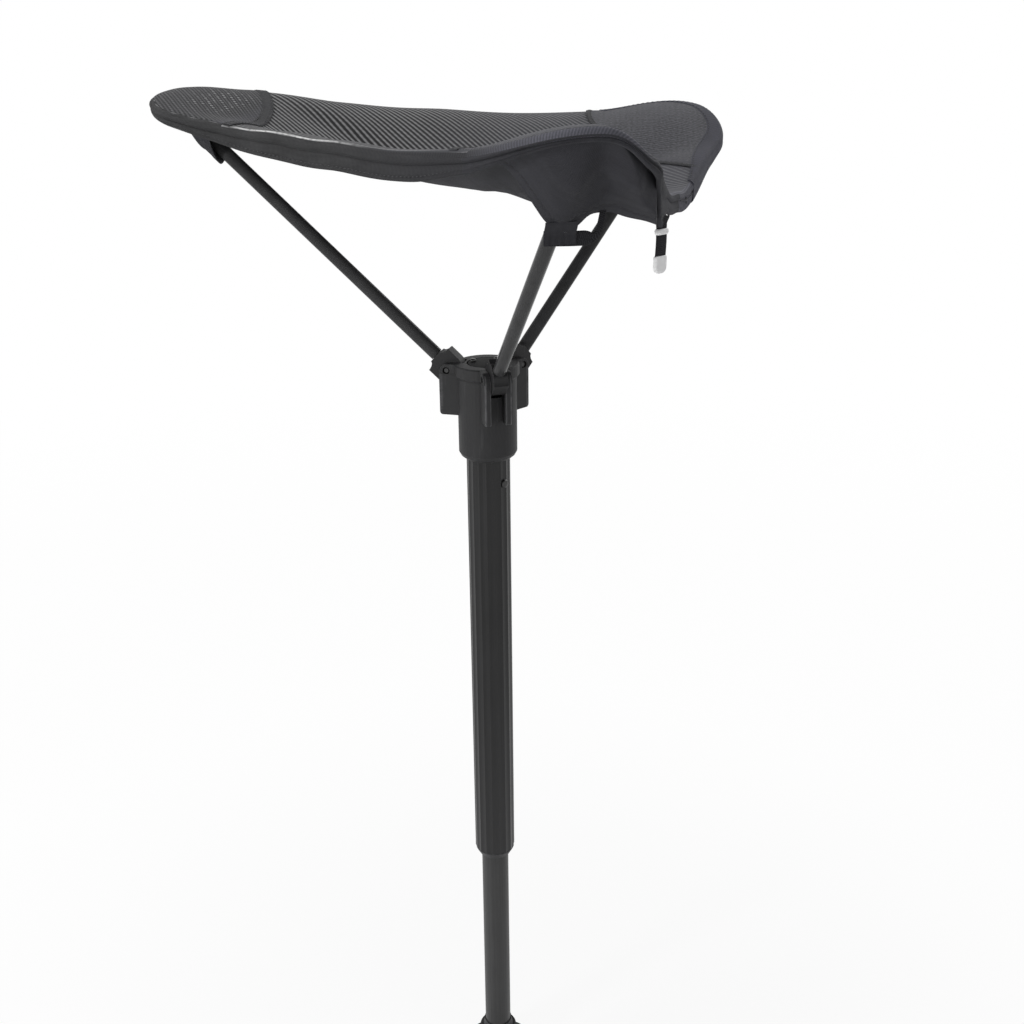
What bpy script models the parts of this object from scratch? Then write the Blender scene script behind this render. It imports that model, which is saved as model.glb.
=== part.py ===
"""Single-leg stool: a tri-lobed sling seat on three folding struts, a slotted hub and a telescoping post.

Metres, +Z up. The origin is the middle of the foot's flat base, on the post's axis.
Heights of the hub, the post and the seat are measured from the strut pivots.
"""

import math

import bmesh
import bpy
from mathutils import Matrix, Vector

# Stance
PIVOT_HEIGHT = 0.546
PIVOT_RADIUS = 0.024
STRUT_AZIMUTHS = (180.0, -60.0, 60.0)
STRUT_RISE = math.radians(42.1)
STRUT_REACH = 0.208

# Clearances
SEAT_GAP = 0.0003
SLIDE_GAP = 0.0003
BORE_GAP = 0.0003
SWING_GAP = 0.0005
CUT_MARGIN = 0.004
TOP_STEP = 0.0001

# Hub
HUB_RADIUS = 0.0187
HUB_TOP = 0.0045
HUB_BOTTOM = -0.057
HUB_TAPER = 0.0042
HUB_TAPER_KNEE = (0.3, 0.45)
COLLAR_STEP = 0.0018
COLLAR_HEIGHT = 0.007
EDGE_CHAMFER = 0.0008
BOSS_WIDTH = 0.0165
BOSS_WALL = 0.005
BOSS_CROWN = 0.009
BOSS_BOTTOM = -0.0288
BOSS_CORNER = 0.002
BOSS_ROUND = 0.0012
BOSS_LIP = 0.0009
LIP_OVERHANG = 0.0004
LIP_ROUND = 0.0005
SPIGOT_BOTTOM = -0.088
PIN_RADIUS = 0.002

# Hub cap and its screws
CAP_RADIUS = 0.0124
CAP_THICKNESS = 0.0027
CAP_CROWN = 0.0006
SCREW_CIRCLE = 0.009
SCREW_RADIUS = 0.0012
SCREW_LENGTH = 0.009
SCREW_HEAD_RADIUS = 0.0022
SCREW_HEAD_HEIGHT = 0.0012

# Outer tube
TUBE_RADIUS = 0.014
TUBE_WALL = 0.0015
TUBE_TOP = -0.022
TUBE_BOTTOM = -0.354
FLUTES = 18
FLUTE_DEPTH = 0.00045
FLUTE_POINTS = 4
RIVET_AZIMUTH = math.radians(-27.0)
RIVET_DROP = 0.073
RIVET_RADIUS = 0.0016
RIVET_LENGTH = 0.006
RIVET_HEAD_RADIUS = 0.0028
RIVET_HEAD_HEIGHT = 0.0011

# Guide bush at the tube's lower end
BUSH_LENGTH = 0.024
BUSH_LIP_HEIGHT = 0.0055
BUSH_LIP_TIP = 0.0013

# Leg and its twist lock
LEG_RADIUS = 0.0095
LEG_WALL = 0.0012
LEG_TOP = -0.266
PLUG_LENGTH = 0.026
PLUG_FLANGE = 0.002
STUD_RADIUS = 0.003
STUD_SUNK = 0.014
EXPANDER_LENGTH = 0.019
EXPANDER_SLIT = 0.0016
SLIT_START = 0.001
SLIT_TURN = math.radians(29.0)
CONE_INSET = 0.0005
CONE_STEP = 0.002
CONE_EDGE = 0.003

# Foot, heights from the floor
FOOT_TOP = 0.0325
SOCKET_WALL = 0.0016
SOCKET_FLOOR = 0.008
SOCKET_THICKNESS = 0.002
BOOT_TOP = 0.0275
BOOT_LIP = 0.0015
BOOT_BASE_RADIUS = 0.028
BOOT_EDGE = 0.0055
TREAD_DEPTH = 0.0012
TREAD_WIDTH = 0.0022
TREAD_RADII = (0.0105, 0.0185)
TREAD_SLOPE = 0.0004
RIM_EDGE = 0.0005

# Struts
STRUT_RADIUS = 0.0042
STRUT_WALL = 0.0009
KNUCKLE_RADIUS = 0.0096
KNUCKLE_SHOULDER = 0.0085
KNUCKLE_NOSE = 0.0112
KNUCKLE_THICKNESS = 0.009
KNUCKLE_BEVEL = 0.0009
KNUCKLE_BEVEL_STEPS = 2
NOSE_LIP = 0.0002
SPIGOT_REACH = 0.020
TIP_HEAD_RADIUS = 0.0045
TIP_HEAD_LENGTH = 0.0065
TIP_SHANK = 0.015
TIP_ROUND = 0.7

# Seat panel, heights from the struts' ends
LOBE_OVERHANG = 0.0297
LOBE_RADIUS = 0.046
SIDE_HOLLOW = 0.011
DISH_DROP = 0.0264
RIM_RISES = {
    60.0: 0.0076, 77.0: 0.0041, 120.0: 0.0093, 150.0: 0.0152, 166.0: 0.0235,
    180.0: 0.0250, 197.0: 0.0136, 220.0: 0.0114, 242.0: 0.0080, 283.0: 0.0106,
    300.0: 0.0236, 317.0: 0.0026, 360.0: -0.0274, 403.0: -0.0154,
}
REAR_TUCK = 0.0040
REAR_TUCK_AZIMUTH = 50.0
REAR_TUCK_SPREAD = 13.0
RIGHT_DIP = 0.012
PANEL_THICKNESS = 0.0024
PANEL_SEGMENTS = 72
PANEL_RINGS = 8
LOBE_CROWDING = 0.7

# Hems, pockets and pulls
HEM_HEIGHT = 0.0085
HEM_END_HEIGHT = 0.003
HEM_THICKNESS = 0.0016
HEM_START = 5.0
HEM_RUN_OUT = 24.0
LEFT_RUN_OUT = 45.0
HEM_INSET = 0.0004
HEM_SAG = 0.0135
HEM_SAG_FRONT = 24.0
HEM_SAG_REAR = 13.0
POCKET_DEPTHS = (0.0085, 0.0223, 0.0203)
POCKET_MOUTH_CURVE = 0.010
POCKET_INSET = 0.0070
POCKET_CLOTH = 0.0012
POCKET_SLACK = 0.0008
POCKET_FALL = 3
SLACK_POCKET = 2
SLACK_SHARE = 0.58
SLACK_FALL = 6
SLACK_CORNER = 12
SLACK_FLARE = 0.0120
SLACK_FLARE_END = 0.35
POCKET_TIP = 0.97
CLOTH_GAP = 0.0004
BAND_WIDTH = 0.0075
BAND_THICKNESS = 0.0014
BAND_LEFT = -0.008
BAND_RIGHT = 0.018
BAND_RISE = 0.004
TAB_AZIMUTH = -33.5
TAB_WIDTH = 0.0078
TAB_GAP = 0.0006
TAB_LENGTH = 0.017
TAB_THICKNESS = 0.0016
TAB_END_WIDTH = 0.0092
TAB_END_LENGTH = 0.0095
TAB_END_THICKNESS = 0.0026
TAB_END_ROUND = 0.002

# Fineness of round pieces
TURN_STEPS = 36
SMALL_STEPS = 20

SLOT_WIDTH = KNUCKLE_THICKNESS + 2 * SEAT_GAP
SLOT_FLOOR = PIVOT_RADIUS - KNUCKLE_RADIUS - SWING_GAP
LOW_SLOT_FLOOR = PIVOT_RADIUS - STRUT_RADIUS - SWING_GAP
LOW_SLOT_TOP = -(max(KNUCKLE_NOSE, math.hypot(KNUCKLE_SHOULDER, KNUCKLE_RADIUS)) + SWING_GAP)
TUBE_INNER = TUBE_RADIUS - TUBE_WALL
LEG_INNER = LEG_RADIUS - LEG_WALL
STRUT_INNER = STRUT_RADIUS - STRUT_WALL
CAP_SEAT = HUB_TOP - CAP_THICKNESS
LEG_BOTTOM = SOCKET_FLOOR + SEAT_GAP
COLLAR_RADIUS = HUB_RADIUS + COLLAR_STEP
BOSS_REACH = PIVOT_RADIUS + BOSS_WALL
STRUT_OUT = PIVOT_RADIUS + STRUT_REACH * math.cos(STRUT_RISE)
STRUT_UP = STRUT_REACH * math.sin(STRUT_RISE)
LOBE_REACH = STRUT_OUT + LOBE_OVERHANG
SIDE_REACH = (LOBE_REACH + LOBE_RADIUS) / 2 - SIDE_HOLLOW
DISH_HEIGHT = STRUT_UP - DISH_DROP
POCKET_MOUTHS = [STRUT_OUT - depth for depth in POCKET_DEPTHS]


def clear_scene():
    """Remove every object that the scene starts with."""
    for obj in list(bpy.data.objects):
        bpy.data.objects.remove(obj, do_unlink=True)


def new_collection(name):
    collection = bpy.data.collections.new(name)
    bpy.context.scene.collection.children.link(collection)
    return collection


clear_scene()
STOOL = new_collection("single_leg_stool")
CUTTERS = new_collection("cutters")


def finish(name, colour, roughness, metallic=0.0):
    """A plain Principled material."""
    material = bpy.data.materials.new(name)
    material.use_nodes = True
    shader = material.node_tree.nodes["Principled BSDF"]
    shader.inputs["Base Color"].default_value = (*colour, 1.0)
    shader.inputs["Roughness"].default_value = roughness
    shader.inputs["Metallic"].default_value = metallic
    return material


HUB_PLASTIC = finish("hub_plastic", (0.035, 0.035, 0.038), 0.5)
KNUCKLE_PLASTIC = finish("knuckle_plastic", (0.03, 0.03, 0.034), 0.45)
LOCK_PLASTIC = finish("lock_plastic", (0.09, 0.09, 0.095), 0.5)
BLACK_TUBE = finish("black_anodised_tube", (0.022, 0.022, 0.024), 0.38, 0.6)
GREY_TUBE = finish("grey_anodised_tube", (0.075, 0.075, 0.076), 0.45, 0.5)
BRIGHT_STEEL = finish("bright_steel", (0.45, 0.45, 0.46), 0.3, 1.0)
FOOT_RUBBER = finish("foot_rubber", (0.018, 0.018, 0.018), 0.85)
MESH_CLOTH = finish("spacer_mesh", (0.09, 0.088, 0.095), 0.9)
PLAIN_CLOTH = finish("plain_dark_cloth", (0.03, 0.03, 0.036), 0.85)
WEBBING = finish("black_webbing", (0.022, 0.021, 0.026), 0.8)
PALE_TAPE = finish("pale_end_piece", (0.75, 0.75, 0.76), 0.6)


def place(name, mesh, material, parent=None, collection=STOOL):
    """Put a mesh into the scene as a named object."""
    obj = bpy.data.objects.new(name, mesh)
    collection.objects.link(obj)
    obj.parent = parent
    if material:
        mesh.materials.append(material)
    return obj


def guide(name, location, rotation=(0.0, 0.0, 0.0)):
    """An empty on a joint's axis, which carries the pieces that move on it."""
    empty = bpy.data.objects.new(name, None)
    STOOL.objects.link(empty)
    empty.location = location
    empty.rotation_euler = rotation
    return empty


def as_cutter(obj):
    obj.hide_render = True
    obj.display_type = "WIRE"
    return obj


def boolean(obj, other, operation):
    step = obj.modifiers.new(operation.lower(), "BOOLEAN")
    step.operation = operation
    step.object = other
    step.solver = "EXACT"


def smooth(mesh, angle=35.0):
    mesh.shade_smooth()
    mesh.set_sharp_from_angle(angle=math.radians(angle))


def turned(name, profile, material, steps=TURN_STEPS, ring=False, parent=None, collection=STOOL):
    """A turned piece: a profile of (radius, height), from the top of its outer side down, about local Z.

    A ring's profile closes on itself; any other starts and ends on the axis.
    """
    work = bmesh.new()
    points = [work.verts.new((radius, 0.0, height)) for radius, height in profile]
    for first, second in zip(points, points[1:]):
        work.edges.new((first, second))
    if ring:
        work.edges.new((points[-1], points[0]))
    mesh = bpy.data.meshes.new(name)
    work.to_mesh(mesh)
    work.free()
    obj = place(name, mesh, material, parent, collection)
    screw = obj.modifiers.new("turn", "SCREW")
    screw.steps = steps
    screw.render_steps = steps
    screw.use_merge_vertices = True
    screw.merge_threshold = 0.00001
    screw.use_smooth_shade = True
    return obj


def arc(centre, radius, start, end, count):
    """Points along an arc, angles in degrees; the radius may be a pair for an ellipse."""
    wide, high = radius if isinstance(radius, tuple) else (radius, radius)
    angles = [math.radians(start + (end - start) * i / count) for i in range(count + 1)]
    return [(centre[0] + wide * math.cos(a), centre[1] + high * math.sin(a)) for a in angles]


def prism_mesh(name, outlines, thickness):
    """A flat outline, with any holes, given a thickness: a filled curve in local XY made into a mesh."""
    curve = bpy.data.curves.new(name, "CURVE")
    curve.dimensions = "2D"
    curve.fill_mode = "BOTH"
    curve.extrude = thickness / 2
    for outline in outlines:
        spline = curve.splines.new("POLY")
        spline.points.add(len(outline) - 1)
        for point, (x, y) in zip(spline.points, outline):
            point.co = (x, y, 0.0, 1.0)
        spline.use_cyclic_u = True
    obj = bpy.data.objects.new(name, curve)
    bpy.context.scene.collection.objects.link(obj)
    view = bpy.context.evaluated_depsgraph_get()
    mesh = bpy.data.meshes.new_from_object(obj.evaluated_get(view))
    bpy.data.objects.remove(obj, do_unlink=True)
    bpy.data.curves.remove(curve)
    work = bmesh.new()
    work.from_mesh(mesh)
    bmesh.ops.remove_doubles(work, verts=work.verts, dist=0.000001)
    work.to_mesh(mesh)
    work.free()
    mesh.name = name
    mesh.materials.clear()
    return mesh


def rods_mesh(name, radius, length, frames, steps=SMALL_STEPS):
    """Plain round rods along the local X of each frame, for bores."""
    work = bmesh.new()
    lie_down = Matrix.Rotation(math.pi / 2, 4, "Y")
    for frame in frames:
        bmesh.ops.create_cone(
            work, cap_ends=True, segments=steps, radius1=radius, radius2=radius, depth=length,
            matrix=frame @ lie_down,
        )
    mesh = bpy.data.meshes.new(name)
    work.to_mesh(mesh)
    work.free()
    return mesh


def cloth(name, columns, rows, shape, thickness, material, parent):
    """A thin cloth piece: a grid whose two parameters, 0 to 1, give each point, thickened on its back."""
    work = bmesh.new()
    bmesh.ops.create_grid(work, x_segments=columns, y_segments=rows, size=0.5)
    for vert in work.verts:
        vert.co = shape(vert.co.x + 0.5, vert.co.y + 0.5)
    mesh = bpy.data.meshes.new(name)
    work.to_mesh(mesh)
    work.free()
    smooth(mesh, 60.0)
    obj = place(name, mesh, material, parent)
    thicken(obj, thickness)
    return obj


def thicken(obj, thickness):
    shell = obj.modifiers.new("thickness", "SOLIDIFY")
    shell.thickness = thickness
    shell.offset = -1.0


def turn_about_post(azimuth):
    return Matrix.Rotation(math.radians(azimuth), 4, "Z")


def ease(share):
    """A smooth step from 0 to 1."""
    share = min(1.0, max(0.0, share))
    return share * share * (3.0 - 2.0 * share)


PIVOT_LEVEL = Matrix.Translation((0.0, 0.0, PIVOT_HEIGHT))
STAND_ACROSS = Matrix.Rotation(math.pi / 2, 4, "Z") @ Matrix.Rotation(math.pi / 2, 4, "X")


def hub():
    """The hub: a turned body with a tube socket and spigot, and three bosses, each slotted into two cheeks."""
    recess = CAP_RADIUS + SEAT_GAP
    socket = TUBE_RADIUS + SEAT_GAP
    spigot = TUBE_INNER - SEAT_GAP
    collar_bottom = HUB_TOP - COLLAR_HEIGHT
    collar_step = COLLAR_RADIUS - HUB_RADIUS
    body = turned("hub_body", [
        (0.0, CAP_SEAT),
        (recess, CAP_SEAT),
        (recess, HUB_TOP),
        (COLLAR_RADIUS - EDGE_CHAMFER, HUB_TOP),
        (COLLAR_RADIUS, HUB_TOP - EDGE_CHAMFER),
        (COLLAR_RADIUS, collar_bottom),
        (HUB_RADIUS, collar_bottom - collar_step),
        (HUB_RADIUS, HUB_BOTTOM + HUB_TAPER),
        (HUB_RADIUS - HUB_TAPER_KNEE[0] * HUB_TAPER, HUB_BOTTOM + HUB_TAPER_KNEE[1] * HUB_TAPER),
        (socket + EDGE_CHAMFER, HUB_BOTTOM),
        (socket, HUB_BOTTOM),
        (socket, TUBE_TOP + SEAT_GAP),
        (spigot, TUBE_TOP + SEAT_GAP),
        (spigot, SPIGOT_BOTTOM + EDGE_CHAMFER),
        (spigot - EDGE_CHAMFER, SPIGOT_BOTTOM),
        (0.0, SPIGOT_BOTTOM),
    ], HUB_PLASTIC, steps=48)
    body.location.z = PIVOT_HEIGHT

    bosses = boss_blocks(socket + EDGE_CHAMFER)
    boolean(body, bosses, "UNION")
    boolean(body, boss_lips(socket + 2 * EDGE_CHAMFER), "UNION")
    boolean(body, slot_cutter(), "DIFFERENCE")
    boolean(body, pin_bores(), "DIFFERENCE")
    boolean(body, screw_bores(), "DIFFERENCE")
    boolean(body, rivet_bore(), "DIFFERENCE")
    return body


def boss_blocks(inner):
    """The bosses, rounded over at the top outside the pivots, where the knuckles swing out."""
    top = HUB_TOP - TOP_STEP
    corner = (BOSS_REACH - BOSS_CORNER, BOSS_BOTTOM + BOSS_CORNER)
    blocks = radial_prisms("boss_blocks", [
        (inner, top),
        (inner, BOSS_BOTTOM),
        *arc(corner, BOSS_CORNER, 270.0, 360.0, 3),
        *arc((PIVOT_RADIUS, top - BOSS_CROWN), (BOSS_WALL, BOSS_CROWN), 0.0, 90.0, 6),
    ], BOSS_WIDTH)
    round_edges(blocks, BOSS_ROUND)
    return blocks


def boss_lips(inner):
    """A lip round each boss's top, which carries the collar's band on across the cheeks and over the pins."""
    top = HUB_TOP - TOP_STEP
    low = HUB_TOP - COLLAR_HEIGHT + LIP_OVERHANG
    wall = BOSS_WALL + LIP_OVERHANG
    crown = BOSS_CROWN - TOP_STEP
    start = math.degrees(math.asin((low - top + BOSS_CROWN) / crown))
    lips = radial_prisms("boss_lips", [
        (inner, top - TOP_STEP),
        (inner, low),
        *arc((PIVOT_RADIUS, top - BOSS_CROWN), (wall, crown), start, 90.0, 6),
    ], BOSS_WIDTH + 2 * BOSS_LIP)
    round_edges(lips, LIP_ROUND)
    return lips


def round_edges(obj, width):
    rounding = obj.modifiers.new("rounding", "BEVEL")
    rounding.width = width
    rounding.segments = 2
    rounding.limit_method = "ANGLE"
    rounding.angle_limit = math.radians(50.0)


def slot_cutter():
    """The slots: deep where the knuckle turns, shallow below it, where a folded strut lies."""
    top = HUB_TOP + CUT_MARGIN
    out = BOSS_REACH + CUT_MARGIN
    low = BOSS_BOTTOM - CUT_MARGIN
    return radial_prisms("knuckle_slots", [
        (SLOT_FLOOR, top),
        (SLOT_FLOOR, LOW_SLOT_TOP),
        (LOW_SLOT_FLOOR, LOW_SLOT_TOP),
        (LOW_SLOT_FLOOR, low),
        (out, low),
        (out, top),
    ], SLOT_WIDTH)


def radial_prisms(name, outline, thickness):
    """An outline of distance from the post and height, given a thickness and repeated at each strut."""
    blocks = bmesh.new()
    block = prism_mesh(name, [outline], thickness)
    block.transform(Matrix.Rotation(math.pi / 2, 4, "X"))
    for azimuth in STRUT_AZIMUTHS:
        copy = block.copy()
        copy.transform(PIVOT_LEVEL @ turn_about_post(azimuth))
        blocks.from_mesh(copy)
        bpy.data.meshes.remove(copy)
    block.clear_geometry()
    blocks.to_mesh(block)
    blocks.free()
    return as_cutter(place(name, block, None, collection=CUTTERS))


def pivot_frame(azimuth):
    """A frame on a pivot, with X along the pin."""
    outward = Matrix.Translation((PIVOT_RADIUS, 0.0, 0.0))
    return PIVOT_LEVEL @ turn_about_post(azimuth) @ outward @ Matrix.Rotation(math.pi / 2, 4, "Z")


def pin_bores():
    frames = [pivot_frame(azimuth) for azimuth in STRUT_AZIMUTHS]
    mesh = rods_mesh("pin_bores", PIN_RADIUS + BORE_GAP, BOSS_WIDTH + CUT_MARGIN, frames)
    return as_cutter(place("pin_bores", mesh, None, collection=CUTTERS))


def screw_frame(azimuth, height):
    outward = Matrix.Translation((SCREW_CIRCLE, 0.0, height))
    return PIVOT_LEVEL @ turn_about_post(azimuth) @ outward


def screw_bores():
    """Bores through the cap and into the hub, deeper than the screws."""
    depth = SCREW_LENGTH + CUT_MARGIN
    lie_up = Matrix.Rotation(math.pi / 2, 4, "Y")
    middle = HUB_TOP + CUT_MARGIN / 2 - depth / 2
    frames = [screw_frame(azimuth, middle) @ lie_up for azimuth in STRUT_AZIMUTHS]
    mesh = rods_mesh("screw_bores", SCREW_RADIUS + BORE_GAP, depth, frames, steps=12)
    return as_cutter(place("screw_bores", mesh, None, collection=CUTTERS))


def rivet_frame():
    """A frame on the rivet's axis at the tube's outer side, X pointing out."""
    place_at = Matrix.Translation((TUBE_RADIUS, 0.0, PIVOT_HEIGHT - RIVET_DROP))
    return Matrix.Rotation(RIVET_AZIMUTH, 4, "Z") @ place_at


def rivet_bore():
    inward = Matrix.Translation((-RIVET_LENGTH / 2, 0.0, 0.0))
    frames = [rivet_frame() @ inward]
    mesh = rods_mesh("rivet_bore", RIVET_RADIUS + BORE_GAP, RIVET_LENGTH + CUT_MARGIN, frames, steps=14)
    return as_cutter(place("rivet_bore", mesh, None, collection=CUTTERS))


def hub_cap():
    """A low crowned disc let into the hub's top, held by three pan-head screws."""
    top = CAP_THICKNESS
    cap = turned("hub_cap", [
        (0.0, top + CAP_CROWN),
        (0.6 * CAP_RADIUS, top + 0.6 * CAP_CROWN),
        (CAP_RADIUS - EDGE_CHAMFER, top),
        (CAP_RADIUS, top - EDGE_CHAMFER),
        (CAP_RADIUS, SEAT_GAP),
        (0.0, SEAT_GAP),
    ], HUB_PLASTIC)
    cap.location.z = PIVOT_HEIGHT + CAP_SEAT
    boolean(cap, bpy.data.objects["screw_bores"], "DIFFERENCE")
    for index, azimuth in enumerate(STRUT_AZIMUTHS, 1):
        seat = HUB_TOP + CAP_CROWN + SEAT_GAP
        screw = turned(f"cap_screw_{index}", [
            (0.0, SCREW_HEAD_HEIGHT),
            (0.55 * SCREW_HEAD_RADIUS, 0.94 * SCREW_HEAD_HEIGHT),
            (0.9 * SCREW_HEAD_RADIUS, 0.55 * SCREW_HEAD_HEIGHT),
            (SCREW_HEAD_RADIUS, 0.0),
            (SCREW_RADIUS, 0.0),
            (SCREW_RADIUS, SCREW_RADIUS - SCREW_LENGTH),
            (0.0, -SCREW_LENGTH),
        ], BRIGHT_STEEL, steps=12)
        screw.matrix_world = screw_frame(azimuth, seat)


def pivot_pins():
    """A plain pin through each pair of cheeks, with rounded ends."""
    half = BOSS_WIDTH / 2
    for index, azimuth in enumerate(STRUT_AZIMUTHS, 1):
        pin = turned(f"pivot_pin_{index}", [
            (0.0, half),
            (0.7 * PIN_RADIUS, half),
            (PIN_RADIUS, half - 0.3 * PIN_RADIUS),
            (PIN_RADIUS, 0.3 * PIN_RADIUS - half),
            (0.7 * PIN_RADIUS, -half),
            (0.0, -half),
        ], BRIGHT_STEEL, steps=SMALL_STEPS)
        pin.matrix_world = pivot_frame(azimuth) @ Matrix.Rotation(math.pi / 2, 4, "Y")


def outer_tube():
    """The fluted outer tube, with a bore for the rivet, and the rivet."""
    outline = []
    count = FLUTES * FLUTE_POINTS
    for step in range(count):
        angle = 2 * math.pi * step / count
        dip = abs(math.sin(FLUTES * angle / 2))
        radius = TUBE_RADIUS - FLUTE_DEPTH * dip
        outline.append((radius * math.cos(angle), radius * math.sin(angle)))
    bore = arc((0.0, 0.0), TUBE_INNER, 0.0, 360.0, count)[:-1]
    length = TUBE_TOP - TUBE_BOTTOM
    mesh = prism_mesh("outer_tube", [outline, bore], length)
    smooth(mesh, 20.0)
    tube = place("outer_tube", mesh, BLACK_TUBE)
    tube.location.z = PIVOT_HEIGHT + (TUBE_TOP + TUBE_BOTTOM) / 2
    boolean(tube, bpy.data.objects["rivet_bore"], "DIFFERENCE")
    rivet = turned("tube_rivet", [
        (0.0, SEAT_GAP + RIVET_HEAD_HEIGHT),
        (0.5 * RIVET_HEAD_RADIUS, SEAT_GAP + 0.85 * RIVET_HEAD_HEIGHT),
        (0.87 * RIVET_HEAD_RADIUS, SEAT_GAP + 0.5 * RIVET_HEAD_HEIGHT),
        (RIVET_HEAD_RADIUS, SEAT_GAP),
        (RIVET_RADIUS, SEAT_GAP),
        (RIVET_RADIUS, -RIVET_LENGTH),
        (0.0, -RIVET_LENGTH),
    ], BRIGHT_STEEL, steps=14)
    rivet.matrix_world = rivet_frame() @ Matrix.Rotation(math.pi / 2, 4, "Y")


def guide_bush():
    """The plastic bush that guides the leg, with a tapered lip below the tube's end."""
    outer = TUBE_INNER - SEAT_GAP
    bore = LEG_RADIUS + SLIDE_GAP
    lip_top = -SEAT_GAP
    lip_bottom = -BUSH_LIP_HEIGHT
    bush = turned("tube_bush", [
        (bore, BUSH_LENGTH),
        (outer - EDGE_CHAMFER, BUSH_LENGTH),
        (outer, BUSH_LENGTH - EDGE_CHAMFER),
        (outer, lip_top),
        (TUBE_RADIUS - FLUTE_DEPTH, lip_top),
        (TUBE_RADIUS - FLUTE_DEPTH, lip_top - EDGE_CHAMFER),
        (bore + BUSH_LIP_TIP, lip_bottom),
        (bore, lip_bottom),
    ], LOCK_PLASTIC, ring=True)
    bush.location.z = PIVOT_HEIGHT + TUBE_BOTTOM


def twist_lock():
    """Inside the tube: a plug fixed in the leg's top, a threaded stud in it, and the slit expander on the stud."""
    stud_bore = STUD_RADIUS + SLIDE_GAP
    top = PIVOT_HEIGHT + LEG_TOP
    plug = turned("leg_plug", [
        (stud_bore, PLUG_FLANGE),
        (LEG_RADIUS - EDGE_CHAMFER, PLUG_FLANGE),
        (LEG_RADIUS, PLUG_FLANGE - EDGE_CHAMFER),
        (LEG_RADIUS, SEAT_GAP),
        (LEG_INNER - SEAT_GAP, SEAT_GAP),
        (LEG_INNER - SEAT_GAP, -PLUG_LENGTH),
        (stud_bore, -PLUG_LENGTH),
    ], LOCK_PLASTIC, steps=SMALL_STEPS, ring=True)
    plug.location.z = top
    cone_base = PLUG_FLANGE + SEAT_GAP
    cone_top = cone_base + EXPANDER_LENGTH
    wide = LEG_RADIUS - CONE_INSET
    stud = turned("lock_stud", [
        (0.0, cone_top),
        (STUD_RADIUS, cone_top),
        (wide - CONE_STEP, cone_base + CONE_EDGE),
        (wide, cone_base),
        (STUD_RADIUS, cone_base),
        (STUD_RADIUS, -STUD_SUNK),
        (0.0, -STUD_SUNK),
    ], BRIGHT_STEEL, steps=SMALL_STEPS)
    stud.location.z = top
    grip = TUBE_INNER - SLIDE_GAP
    expander = turned("lock_expander", [
        (STUD_RADIUS + SLIDE_GAP, cone_top),
        (grip - EDGE_CHAMFER, cone_top),
        (grip, cone_top - EDGE_CHAMFER),
        (grip, cone_base + EDGE_CHAMFER),
        (grip - EDGE_CHAMFER, cone_base + SEAT_GAP),
        (wide + SLIDE_GAP, cone_base + SEAT_GAP),
        (wide + SLIDE_GAP - CONE_STEP, cone_base + CONE_EDGE + SLIDE_GAP),
    ], LOCK_PLASTIC, steps=SMALL_STEPS, ring=True)
    expander.location.z = top
    slit = bmesh.new()
    size = (TUBE_RADIUS, EXPANDER_SLIT, EXPANDER_LENGTH + CUT_MARGIN)
    middle = (TUBE_RADIUS / 2 + SLIT_START, 0.0, top + (cone_base + cone_top) / 2)
    shape = Matrix.Translation(middle) @ Matrix.Diagonal((*size, 1.0))
    bmesh.ops.create_cube(slit, size=1.0, matrix=Matrix.Rotation(SLIT_TURN, 4, "Z") @ shape)
    mesh = bpy.data.meshes.new("expander_slit")
    slit.to_mesh(mesh)
    slit.free()
    boolean(expander, as_cutter(place("expander_slit", mesh, None, collection=CUTTERS)), "DIFFERENCE")


def leg():
    """The plain lower tube, from the foot's socket to the plug."""
    top = PIVOT_HEIGHT + LEG_TOP
    turned("leg_tube", [
        (LEG_RADIUS, top),
        (LEG_RADIUS, LEG_BOTTOM),
        (LEG_INNER, LEG_BOTTOM),
        (LEG_INNER, top),
    ], GREY_TUBE, ring=True)


def foot():
    """The foot: a cup on the leg's end with a flared top, in a rubber boot with a trodden flat base."""
    bore = LEG_RADIUS + SEAT_GAP
    cup = bore + SOCKET_WALL
    cup_bottom = SOCKET_FLOOR - SOCKET_THICKNESS
    flare = arc((cup, FOOT_TOP), (cup - bore - RIM_EDGE, FOOT_TOP - BOOT_TOP), 180.0, 270.0, 4)
    turned("foot_socket", [
        (bore, FOOT_TOP),
        *flare,
        (cup, cup_bottom),
        (0.0, cup_bottom),
        (0.0, SOCKET_FLOOR),
        (bore, SOCKET_FLOOR),
    ], LOCK_PLASTIC)
    close_profile(bpy.data.objects["foot_socket"])

    pocket = cup + SEAT_GAP
    pocket_floor = cup_bottom - SEAT_GAP
    lip = pocket + BOOT_LIP
    shoulder = BOOT_TOP - SEAT_GAP
    sweep = arc((BOOT_BASE_RADIUS, shoulder - BOOT_LIP),
                (BOOT_BASE_RADIUS - lip - RIM_EDGE, shoulder - BOOT_LIP - BOOT_EDGE), 180.0, 262.0, 7)
    profile = [
        (pocket, shoulder),
        (pocket + 0.55 * BOOT_LIP, shoulder),
        (lip, shoulder - 0.5 * BOOT_LIP),
        *sweep,
        (BOOT_BASE_RADIUS, BOOT_EDGE - 2 * RIM_EDGE),
        (BOOT_BASE_RADIUS, EDGE_CHAMFER),
        (BOOT_BASE_RADIUS - EDGE_CHAMFER, 0.0),
    ]
    for radius in reversed(TREAD_RADII):
        profile += [
            (radius + TREAD_WIDTH, 0.0),
            (radius + TREAD_WIDTH - TREAD_SLOPE, TREAD_DEPTH),
            (radius + TREAD_SLOPE, TREAD_DEPTH),
            (radius, 0.0),
        ]
    profile += [(0.0, 0.0), (0.0, pocket_floor), (pocket, pocket_floor)]
    turned("foot_boot", profile, FOOT_RUBBER)
    close_profile(bpy.data.objects["foot_boot"])


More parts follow.
